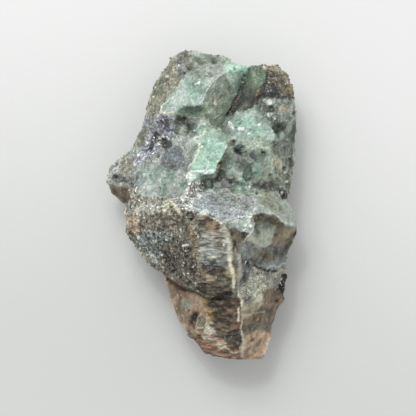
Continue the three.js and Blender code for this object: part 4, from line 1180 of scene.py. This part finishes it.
class Recipe:
    """A material and the nodes that it is made of."""

    def __init__(self, name):
        self.material = bpy.data.materials.new(name)
        self.material.use_nodes = True
        self.tree = self.material.node_tree
        self.tree.nodes.clear()

    def node(self, kind, settings=None, inputs=None, output=0):
        """Adds a node: its settings first, then its inputs, each a value or another wire."""
        made = self.tree.nodes.new(kind)
        for name, value in (settings or {}).items():
            setattr(made, name, value)
        for name, value in (inputs or {}).items():
            if isinstance(value, Wire):
                self.tree.links.new(value.socket, made.inputs[name])
            else:
                made.inputs[name].default_value = value
        return Wire(self, made.outputs[output])

    def attribute(self, name, output="Fac"):
        """What the mesh carries under this name."""
        return self.node("ShaderNodeAttribute", {"attribute_name": name}, output=output)

    def place(self):
        """Where on the piece a point is, in metres."""
        return self.node("ShaderNodeTexCoord", output="Object")

    def vector(self, operation, one, other=(0, 0, 0)):
        """Arithmetic on directions."""
        return self.node("ShaderNodeVectorMath", {"operation": operation}, {0: one, 1: other})

    def scaled(self, colour, share):
        """A colour or a direction made larger or smaller by a number."""
        return self.node("ShaderNodeVectorMath", {"operation": "SCALE"}, {0: colour, 3: share})

    def turned(self, place, angles, scale):
        """A place turned and stretched, so that grains lie one way."""
        return self.node("ShaderNodeMapping", {}, {0: place, "Rotation": angles, "Scale": scale})

    def shaken(self, place, size, amount):
        """A place moved by noise whose lumps are `size` mm, by up to about `amount` mm."""
        noise = self.noise(place, size, 2.0, "Color")
        shift = self.scaled(self.vector("SUBTRACT", noise, (0.5, 0.5, 0.5)), 2 * amount * MM)
        return self.vector("ADD", place, shift)

    def noise(self, place, size, detail=3.0, output="Fac"):
        """Noise whose lumps are about `size` mm."""
        inputs = {"Vector": place, "Scale": 1 / (size * MM), "Detail": detail}
        return self.node("ShaderNodeTexNoise", {}, inputs, output)

    def cells(self, place, size):
        """Grains about `size` mm across, each with three numbers of its own, as a colour."""
        inputs = {"Vector": place, "Scale": 1 / (size * MM)}
        return self.node("ShaderNodeTexVoronoi", {}, inputs, "Color")

    def channel(self, colour, output="Red"):
        """One of a colour's three numbers."""
        return self.node("ShaderNodeSeparateColor", {}, {"Color": colour}, output)

    def cracks(self, place, size):
        """How far a point is from the nearest border of grains about `size` mm across."""
        inputs = {"Vector": place, "Scale": 1 / (size * MM)}
        return self.node("ShaderNodeTexVoronoi", {"feature": "DISTANCE_TO_EDGE"}, inputs)

    def between(self, value, low, high):
        """0 below `low`, 1 above `high`, and a smooth step between."""
        inputs = {"Value": value, "From Min": low, "From Max": high}
        return self.node("ShaderNodeMapRange", {"interpolation_type": "SMOOTHSTEP"}, inputs)

    def mix(self, under, over, share):
        """One colour laid over another."""
        return self.node("ShaderNodeMix", {"data_type": "RGBA"}, {0: share, 6: under, 7: over}, 2)

    def tilted(self, cells, amount):
        """The skin's own direction, tilted in each grain by a way of its own."""
        own = self.node("ShaderNodeNewGeometry", output="Normal")
        tilt = self.scaled(self.vector("SUBTRACT", cells, (0.5, 0.5, 0.5)), amount)
        return self.vector("NORMALIZE", self.vector("ADD", own, tilt))

    def bump(self, height, distance, normal):
        """A fine relief that only turns the light; its height is in mm."""
        inputs = {"Height": height, "Distance": distance * MM, "Strength": 1.0, "Normal": normal}
        return self.node("ShaderNodeBump", {}, inputs)

    def surface(self, shader):
        """Ends the recipe, and gives its material."""
        output = self.tree.nodes.new("ShaderNodeOutputMaterial")
        self.tree.links.new(shader.socket, output.inputs["Surface"])
        return self.material


print("a recipe knows", ", ".join(name for name in vars(Recipe) if not name.startswith("_")))

# %% [markdown]
# ## The stone's finish
#
# The colours come from the skin. The material adds what is finer than the skin's squares. In mica,
# each grain is a small mirror: it has its own brightness and its own tilt, and a few are nearly
# metal, which makes them glitter. Schist has smaller, duller grains. The layers get fine lines along
# their sheets, and films only a slight cloud. Everywhere the hollows are painted darker, as shade,
# and the crests paler, as a painted highlight.
#
# Beryl and schist are two different surfaces, mixed by the skin's own mask: beryl is glassy and lets
# some light in, which a little subsurface scattering gives, and schist is dry.

# %% Light and dark in the fine grains
SPLINTERS = [((0.5, 0.3, 0.7), (1.0, 2.8, 1.3)), ((-0.4, 0.6, -0.9), (1.0, 2.8, 1.3))]  # turn and stretch
SHEETS = ((0.25, 0.0, -0.10), (0.16, 1.0, 0.25))  # the same for the lines of the layers
SPLINTER = 0.42  # mm across a splinter of mica
SALT = 0.17  # mm across the finest grains
CLOUD = 0.50  # mm across a fine cloud
SHEET = 0.32  # mm across a line of the layers
HAIR_GAP = 1.5  # mm between hairline cracks in the beryl


def grain_light(r, place, kinds, flakes):
    """How light each fine grain is against its patch: for each kind of stone its own sum of grains,
    clouds and lines, and painted glints, a few grains of beryl and schist made lighter."""
    beryl, mica, layers, film = kinds
    one, other = (r.channel(r.cells(r.turned(place, *lie), SPLINTER)) for lie in SPLINTERS)
    salt = r.channel(r.cells(place, SALT), "Green")
    speck = salt - 0.5
    fine = r.noise(place, CLOUD, 6.0) - 0.5
    hair = 1 - r.between(r.cracks(r.shaken(place, 0.9, 0.35), HAIR_GAP), 0.01, 0.06)
    lines = r.between(r.noise(r.turned(place, *SHEETS), SHEET, 3.0), 0.38, 0.60) - 0.5
    pepper = r.channel(flakes)
    grain = r.between(pepper, 0.80, 0.90) + 0.6 * r.between(pepper, 0.10, 0.20)
    schist = 1 - beryl - mica - layers - film
    # painted glints: a few of the finest grains of beryl and schist are made lighter
    painted_glint = r.between(salt, 0.92, 0.96) * (0.5 * beryl + 0.6 * schist)
    return painted_glint + (
        mica * (0.55 + 0.7 * one * one + 0.7 * other * other + 0.4 * speck)
        + schist * (0.46 + 0.40 * grain + 0.40 * salt + 0.9 * fine)
        + layers * (1 + 0.75 * lines + 0.5 * fine + 0.25 * speck)
        + film * (1 + 1.1 * fine + 0.22 * speck)
        + beryl * (0.95 + 1.1 * fine + 0.20 * speck + 0.28 * hair)
    )


# %% The stone's material
FLAKE = 0.33  # mm across a flake that can glitter
FLASHING = (0.92, 0.95)  # the chance over which a flake turns into a mirror
HOLLOW_SHADE = 0.40  # painted shade: the share of its light that a full hollow loses; a crest gains as much as a painted highlight
BERYL_GRAIN = 0.7  # mm across a grain of beryl
BERYL_BEND = 1.58  # the refractive index of beryl
BERYL_GLOW = 0.20  # share of the light that enters beryl and comes out near by
GLOW_REACH = (0.7, 0.9, 0.8)  # mm that red, green and blue light travel in it


def stone_material():
    """Dry rock and glassy beryl, mixed by the skin's share of beryl."""
    r = Recipe("beryl in schist")
    kinds = [r.attribute(kind) for kind in MATERIAL_KINDS]
    beryl, mica, _, _ = kinds
    dry = 1 - beryl
    place = r.shaken(r.place(), 0.45, 0.09)
    flakes = r.cells(place, FLAKE)
    flash = r.between(r.channel(flakes, "Blue"), *FLASHING) * (1.05 * mica + 0.15 * dry + 0.05)
    # painted shade in the hollows and a painted highlight on the crests
    light = grain_light(r, place, kinds, flakes) * (1 - HOLLOW_SHADE * r.attribute("hollow"))
    own = r.scaled(r.attribute("tint", "Color"), light)
    colour = r.mix(own, (*LIGHT["white"], 1), 0.6 * flash)
    height = r.noise(place, 0.45, 5.0) + 0.5 * r.channel(flakes, "Green") * dry
    rough = r.node("ShaderNodeBsdfPrincipled", {}, {
        "Base Color": colour,
        "Metallic": 0.35 * flash,
        "Roughness": 0.75 - 0.42 * flash - 0.20 * mica,
        "Normal": r.bump(height, 0.12, r.tilted(flakes, 0.20 + 0.40 * mica + 0.20 * dry)),
    })
    own_tilt = r.tilted(r.cells(place, BERYL_GRAIN), 0.22)
    glassy = r.node("ShaderNodeBsdfPrincipled", {}, {
        "Base Color": colour,
        "Roughness": 0.24 + 0.30 * r.noise(place, 0.9),
        "IOR": BERYL_BEND,
        "Subsurface Weight": BERYL_GLOW,
        "Subsurface Radius": [reach * MM for reach in GLOW_REACH],
        "Subsurface Scale": 1.0,
        "Normal": r.bump(r.noise(place, BERYL_GRAIN, 6.0), 0.10, own_tilt),
    })
    return r.surface(r.node("ShaderNodeMixShader", {}, {0: beryl, 1: rough, 2: glassy}))


stone.data.materials.clear()
stone.data.materials.append(stone_material())
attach(stone, "root")
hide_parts(NODE)
print("its material has", len(stone.data.materials[0].node_tree.nodes), "nodes")

# %% [markdown]
# ## Loose plates of mica
#
# Mica splits into thin plates, and on a broken face hundreds of them stick out at all angles. Their
# crisp edges are finer than the skin can carry, so they are real plates: thin six-sided slabs with
# uneven corners, half sunk in the skin. Each has only twenty triangles. They gather where the map
# says mica, and a few lie on the schist. A plate takes the colour of the place where it sits, made
# lighter or darker by chance, as if it caught the light or lay in shadow.

# %% Prisms as whole arrays
SIDES = 6


def across(directions, spin):
    """Two unit directions at right angles to each given one and to each other, turned by `spin`."""
    helper = np.where(np.abs(directions[:, 2:]) < 0.9, [[0.0, 0.0, 1.0]], [[1.0, 0.0, 0.0]])
    one = np.cross(directions, helper)
    one /= np.linalg.norm(one, axis=1, keepdims=True)
    other = np.cross(directions, one)
    turn, lean = np.cos(spin)[:, None], np.sin(spin)[:, None]
    return turn * one + lean * other, turn * other - lean * one


def prisms(centres, axes, corners, heights):
    """Closed prisms: the corners, given in each prism's own plane, are raised to each of its heights.
    `corners` is (prisms, rings, sides, 2) and `heights` is (prisms, rings, sides), both in mm."""
    along, side, up = axes
    points = (
        centres[:, None, None]
        + corners[..., :1] * along[:, None, None]
        + corners[..., 1:] * side[:, None, None]
        + heights[..., None] * up[:, None, None]
    )
    count, rings, sides, _ = points.shape
    index = np.arange(count * rings * sides).reshape(count, rings, sides)
    low, high = index[:, :-1], index[:, 1:]
    walls = np.stack([low, np.roll(low, -1, 2), np.roll(high, -1, 2), high], axis=-1).reshape(-1, 4)
    caps = np.concatenate([index[:, 0, ::-1], index[:, -1]])
    return points.reshape(-1, 3), walls.tolist() + caps.tolist()


def mesh_of(name, points, faces):
    """A mesh from points in mm and faces."""
    mesh = bpy.data.meshes.new(name)
    mesh.from_pydata(points * MM, [], faces)
    mesh.update()
    return mesh


def ring_corners(chance, count, rings, radii, evenness):
    """The corners of each ring, at uneven radii around it."""
    angle = np.linspace(0, 2 * np.pi, SIDES, endpoint=False)
    reach = radii[:, None] * chance.uniform(evenness, 1.0, (count, SIDES))
    circle = np.stack([np.cos(angle), np.sin(angle)], axis=-1)
    return np.repeat((reach[..., None] * circle)[:, None], rings, axis=1)


middle = np.zeros((1, 3))
hexagon = ring_corners(np.random.default_rng(0), 1, 2, np.ones(1), 1.0)
corners, faces = prisms(middle, np.eye(3)[:, None], hexagon, np.array([[[0.0] * SIDES, [1.0] * SIDES]]))
print("one prism has", len(corners), "corners and", len(faces), "faces")

# %% Plates of mica
PLATES = 7200
PLATE_SIZE = (0.11, 0.34)  # mm, from the middle to a corner
PLATE_THICKNESS = (0.03, 0.07)  # mm
PLATE_TILT = 0.54  # how far plates lean, against the way the skin faces
PLATE_ABOVE = 0.05  # mm that their middles stand over the skin
ON_SCHIST = 0.12  # how many lie on schist, against mica
PLATES_FROM = 0.7  # mm above the table
PLATE_EVENNESS = 0.55  # how near the middle a corner may be, against the farthest
PLATE_NARROWNESS = (0.35, 1.0)  # the width against the length
PLATE_DARKEST = 0.45  # a plate's light against the skin's, at the least
PLATE_SHINE = 1.5  # how much more the lightest one has
PLATE_RARITY = 2.2  # the power that makes the light ones rare
MOST_LIGHT = 0.9  # no tint of a plate or a block sends back more


def mica_plates(points, facing, colour, kinds):
    """The plates' mesh and one colour for each of its vertices."""
    chance = np.random.default_rng(11)
    wish = (kinds["mica"] + ON_SCHIST * kinds["schist"]) * (points[:, 2] > PLATES_FROM)
    spots = chance.choice(len(points), PLATES, replace=False, p=wish / wish.sum())
    up = facing[spots] + chance.normal(0, PLATE_TILT, (PLATES, 3))
    up /= np.linalg.norm(up, axis=1, keepdims=True)
    along, side = across(up, chance.uniform(0, 2 * np.pi, PLATES))
    size = PLATE_SIZE[0] + (PLATE_SIZE[1] - PLATE_SIZE[0]) * chance.uniform(0, 1, PLATES) ** 2
    corners = ring_corners(chance, PLATES, 2, size, PLATE_EVENNESS)
    corners[..., 1] *= chance.uniform(*PLATE_NARROWNESS, PLATES)[:, None, None]
    thick = chance.uniform(*PLATE_THICKNESS, PLATES)
    heights = np.stack([-thick / 2, thick / 2], axis=1)[..., None] * np.ones(SIDES)
    centres = points[spots] + PLATE_ABOVE * facing[spots]
    made, faces = prisms(centres, (along, side, up), corners, heights)
    shade = PLATE_DARKEST + PLATE_SHINE * chance.uniform(0, 1, PLATES) ** PLATE_RARITY
    tints = np.repeat(colour[spots] * shade[:, None], 2 * SIDES, axis=0)
    return mesh_of("mica_plates", kept_in_box(made), faces), np.clip(tints, 0, MOST_LIGHT)


def plate_material():
    """Each plate has one colour, a little clouded, and a slightly metallic gloss."""
    r = Recipe("mica plates")
    cloud = r.noise(r.place(), 0.3)
    return r.surface(r.node("ShaderNodeBsdfPrincipled", {}, {
        "Base Color": r.scaled(r.attribute("tint", "Color"), 0.75 + 0.5 * cloud),
        "Metallic": 0.25,
        "Roughness": 0.30 + 0.25 * cloud,
    }))


carved = points_of(stone.data)
plates_mesh, plate_tints = mica_plates(carved, outward(stone.data), colour, kinds)
store(plates_mesh, "tint", plate_tints)
plates_mesh.shade_flat()
plates_mesh.materials.append(plate_material())
plates = linked("mica_plates", plates_mesh)
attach(plates, "root")
print(PLATES, "plates,", len(plates_mesh.loops) - 2 * len(plates_mesh.polygons), "triangles")

# %% [markdown]
# ## Blocks of beryl
#
# In the hollow beside the mint face the beryl has broken into blocks, some of them still showing the
# six sides of the crystal. They could be carved from the skin, but its squares are too wide for crisp
# edges, so each block is a body of its own. The largest are placed one by one, with their own tints,
# and small chips in the skin's colour are scattered over the rest of the beryl. A block is a prism
# with three rings: a foot that is sunk in the stone, a rim, and a smaller, slanting top, so its upper
# edges are bevelled.

# %% Blocks and chips
BLOCKS = [  # the middle, half the length and the width, the turn, the height, the tint and its level
    ("small dark crystal", (1.3, 3.2), (0.90, 1.15), 5, 1.40, "bottle", 1.20),
    ("large dark crystal", (7.6, 5.2), (1.40, 0.95), 75, 0.45, "bottle", 1.25),
    ("teal side", (9.0, 5.7), (1.00, 0.75), 20, 0.35, "jade", 1.05),
    ("slate block", (4.6, 4.2), (1.15, 0.60), -10, 0.45, "lead", 2.40),
    ("grey block", (4.2, 3.1), (0.80, 0.45), -20, 0.30, "slate", 1.25),
    ("jade block", (5.9, 2.8), (1.15, 0.75), -30, 0.35, "bottle", 2.60),
    ("pale block", (7.1, 3.6), (0.90, 0.40), 60, 0.40, "sea", 0.85),
    ("white grain", (8.0, 3.0), (0.28, 0.22), 0, 0.30, "white", 1.00),
    ("striped lump", (10.0, 3.4), (0.65, 0.55), 70, 0.35, "slate", 1.10),
    ("upper dark crystal", (8.4, 7.8), (0.60, 0.35), -50, 0.30, "bottle", 1.30),
    ("green lump", (6.1, 9.4), (0.80, 0.50), 20, 0.30, "bottle", 0.80),
    ("overhang", (7.3, 8.4), (1.10, 0.35), 25, 0.30, "sage", 0.60),
    ("grey lump", (6.6, 7.2), (1.10, 0.80), -60, 0.35, "slate", 1.00),
    ("speck by the seam", (4.3, 6.2), (0.70, 0.45), 60, 0.30, "sage", 0.85),
    ("cream grain", (13.6, 15.7), (0.85, 0.50), 10, 0.30, "bone", 0.80),
    ("bright grain", (11.5, 16.6), (0.55, 0.45), 30, 0.40, "frost", 0.85),
    ("grain by the knob", (11.3, 14.7), (0.45, 0.40), 0, 0.30, "silver", 0.90),
    ("long chip", (4.9, 13.1), (0.55, 0.25), -50, 0.25, "white", 0.95),
    ("round chip", (6.6, 12.2), (0.45, 0.38), 0, 0.25, "white", 0.95),
    ("tan block", (12.4, 6.9), (1.10, 0.40), -50, 0.30, "bone", 0.75),
    ("lump of the tail", (0.4, -19.3), (0.80, 0.75), 0, 0.25, "khaki", 1.00),
    ("glassy bead", (11.6, 15.7), (0.75, 0.65), 0, 0.50, "bottle", 0.75),
]
CHIPS = 150
CHIP_SIZE = (0.16, 0.45)  # mm, half the length
CHIPS_FROM = 1.0  # mm above the table
CHIPS_ON_SIDES = 0.2  # how likely a chip is on a steep side, against 1.2 on top
CHIP_NARROWNESS = (0.5, 1.0)  # the width against the length
CHIP_TALLNESS = (0.2, 0.7)  # the height against half the length
CHIP_SHADES = (0.6, 1.2)  # a chip's light against the skin's
NEAR = 0.25  # mm around a block's middle in which the skin's highest point carries it
RINGS = (1.15, 1.0, 0.62)  # the widths of the foot, the rim and the top
BLOCK_EVENNESS = 0.62  # how near the middle a corner may be, against the farthest
RIM = 0.35  # the rim's height, against the top's
BLOCK_TILT = 0.25  # how far blocks lean
TOP_SHIFT = 0.25  # how far the top is off its middle, against half the width
UNEVEN = 0.3  # how much higher or lower a corner may be, against the height
SHADES = (0.75, 1.25)  # how dark and how light a corner may be, against its tint
BLOCK_PAINTED_CREST = -0.05  # they get the painted highlight of a faint crest


def top_of(points, x, y):
    """The highest of the skin's points above a place."""
    near = grain_distance(points[:, :2], x, y) < NEAR
    return points[near][points[near][:, 2].argmax()]


def beryl_blocks(points, facing, colour, kinds):
    """Prisms with a sunk foot, a rim and a smaller, uneven top, and one colour for each vertex."""
    chance = np.random.default_rng(23)
    wish = kinds["beryl"] * (points[:, 2] > CHIPS_FROM) * (CHIPS_ON_SIDES + rise(facing[:, 2], 0.0, 0.5))
    spots = chance.choice(len(points), CHIPS, replace=False, p=wish / wish.sum())
    _, middles, halves, turns, tall, tints, levels = zip(*BLOCKS)
    small = CHIP_SIZE[0] + (CHIP_SIZE[1] - CHIP_SIZE[0]) * chance.uniform(0, 1, CHIPS) ** 2
    narrow = small * chance.uniform(*CHIP_NARROWNESS, CHIPS)
    centres = np.concatenate([[top_of(points, x, y) for x, y in middles], points[spots]])
    half = np.concatenate([halves, np.stack([small, narrow], axis=1)])
    height = np.concatenate([tall, small * chance.uniform(*CHIP_TALLNESS, CHIPS)])
    up = np.concatenate([np.tile([0.0, 0.0, 1.0], (len(BLOCKS), 1)), facing[spots]])
    count = len(centres)
    up += chance.normal(0, BLOCK_TILT, (count, 3))
    up /= np.linalg.norm(up, axis=1, keepdims=True)
    spin = np.concatenate([np.radians(turns) - np.pi / 2, chance.uniform(0, 2 * np.pi, CHIPS)])
    corners = ring_corners(chance, count, len(RINGS), np.ones(count), BLOCK_EVENNESS)
    corners *= half[:, None, None]
    corners *= np.array(RINGS)[None, :, None, None]
    corners[:, 2] += TOP_SHIFT * half[:, None] * chance.uniform(-1, 1, (count, 1, 2))
    heights = np.stack([-half[:, 1], RIM * height, height], axis=1)[..., None] * np.ones(SIDES)
    heights[:, 1:] += height[:, None, None] * chance.uniform(-UNEVEN, UNEVEN, (count, 2, SIDES))
    made, faces = prisms(centres, (*across(up, spin), up), corners, heights)
    own = np.array([level * LIGHT[tint] for tint, level in zip(tints, levels)])
    tint = np.concatenate([own, colour[spots] * chance.uniform(*CHIP_SHADES, CHIPS)[:, None]])
    tint = np.repeat(tint, len(RINGS) * SIDES, axis=0) * chance.uniform(*SHADES, (len(made), 1))
    return mesh_of("beryl_blocks", kept_in_box(made), faces), np.clip(tint, 0, MOST_LIGHT)


blocks_mesh, block_tints = beryl_blocks(carved, outward(stone.data), colour, kinds)
store(blocks_mesh, "tint", block_tints)
store(blocks_mesh, "hollow", np.full(len(block_tints), BLOCK_PAINTED_CREST))
store(blocks_mesh, "beryl", np.ones(len(block_tints)))
blocks_mesh.shade_flat()
blocks_mesh.materials.append(stone.data.materials[0])
blocks = linked("beryl_blocks", blocks_mesh)
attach(blocks, "root")
print(len(BLOCKS) + CHIPS, "blocks and chips")

# %% [markdown]
# ## Table
#
# A plain pale table top, far wider than the stone, so that it fills every view. It is painted a
# little brighter on the far side, as painted light, because the window is nearer there.

# %% The table
TABLE_HALF = 2.5  # m
TABLE_PAINTED_DIM = daylight("d2d4d2")
TABLE_PAINTED_LIT = daylight("e8e9e8")
TABLE_REACH = 0.036  # m from the middle over which it changes
TABLE_TURN = 0.25  # how far the change turns to the right


def table():
    """A flat square under the stone."""
    mesh = bpy.data.meshes.new("table")
    corners = [(x * TABLE_HALF, y * TABLE_HALF, 0) for x, y in ((-1, -1), (1, -1), (1, 1), (-1, 1))]
    mesh.from_pydata(corners, [], [(0, 1, 2, 3)])
    r = Recipe("pale table")
    place = r.place()
    across, away = (r.node("ShaderNodeSeparateXYZ", {}, {0: place}, axis) for axis in "XY")
    # painted light: the table's colour grows brighter towards the window
    share = r.between(away + TABLE_TURN * across, -TABLE_REACH, TABLE_REACH)
    r.surface(r.node("ShaderNodeBsdfPrincipled", {}, {
        "Base Color": r.mix((*TABLE_PAINTED_DIM, 1), (*TABLE_PAINTED_LIT, 1), share),
        "Roughness": 0.9,
        "Specular IOR Level": 0.1,
    }))
    mesh.materials.append(r.material)
    linked("table", mesh)


table()
print("the table is", 2 * TABLE_HALF, "m wide")

# %% [markdown]
# ## Last lines
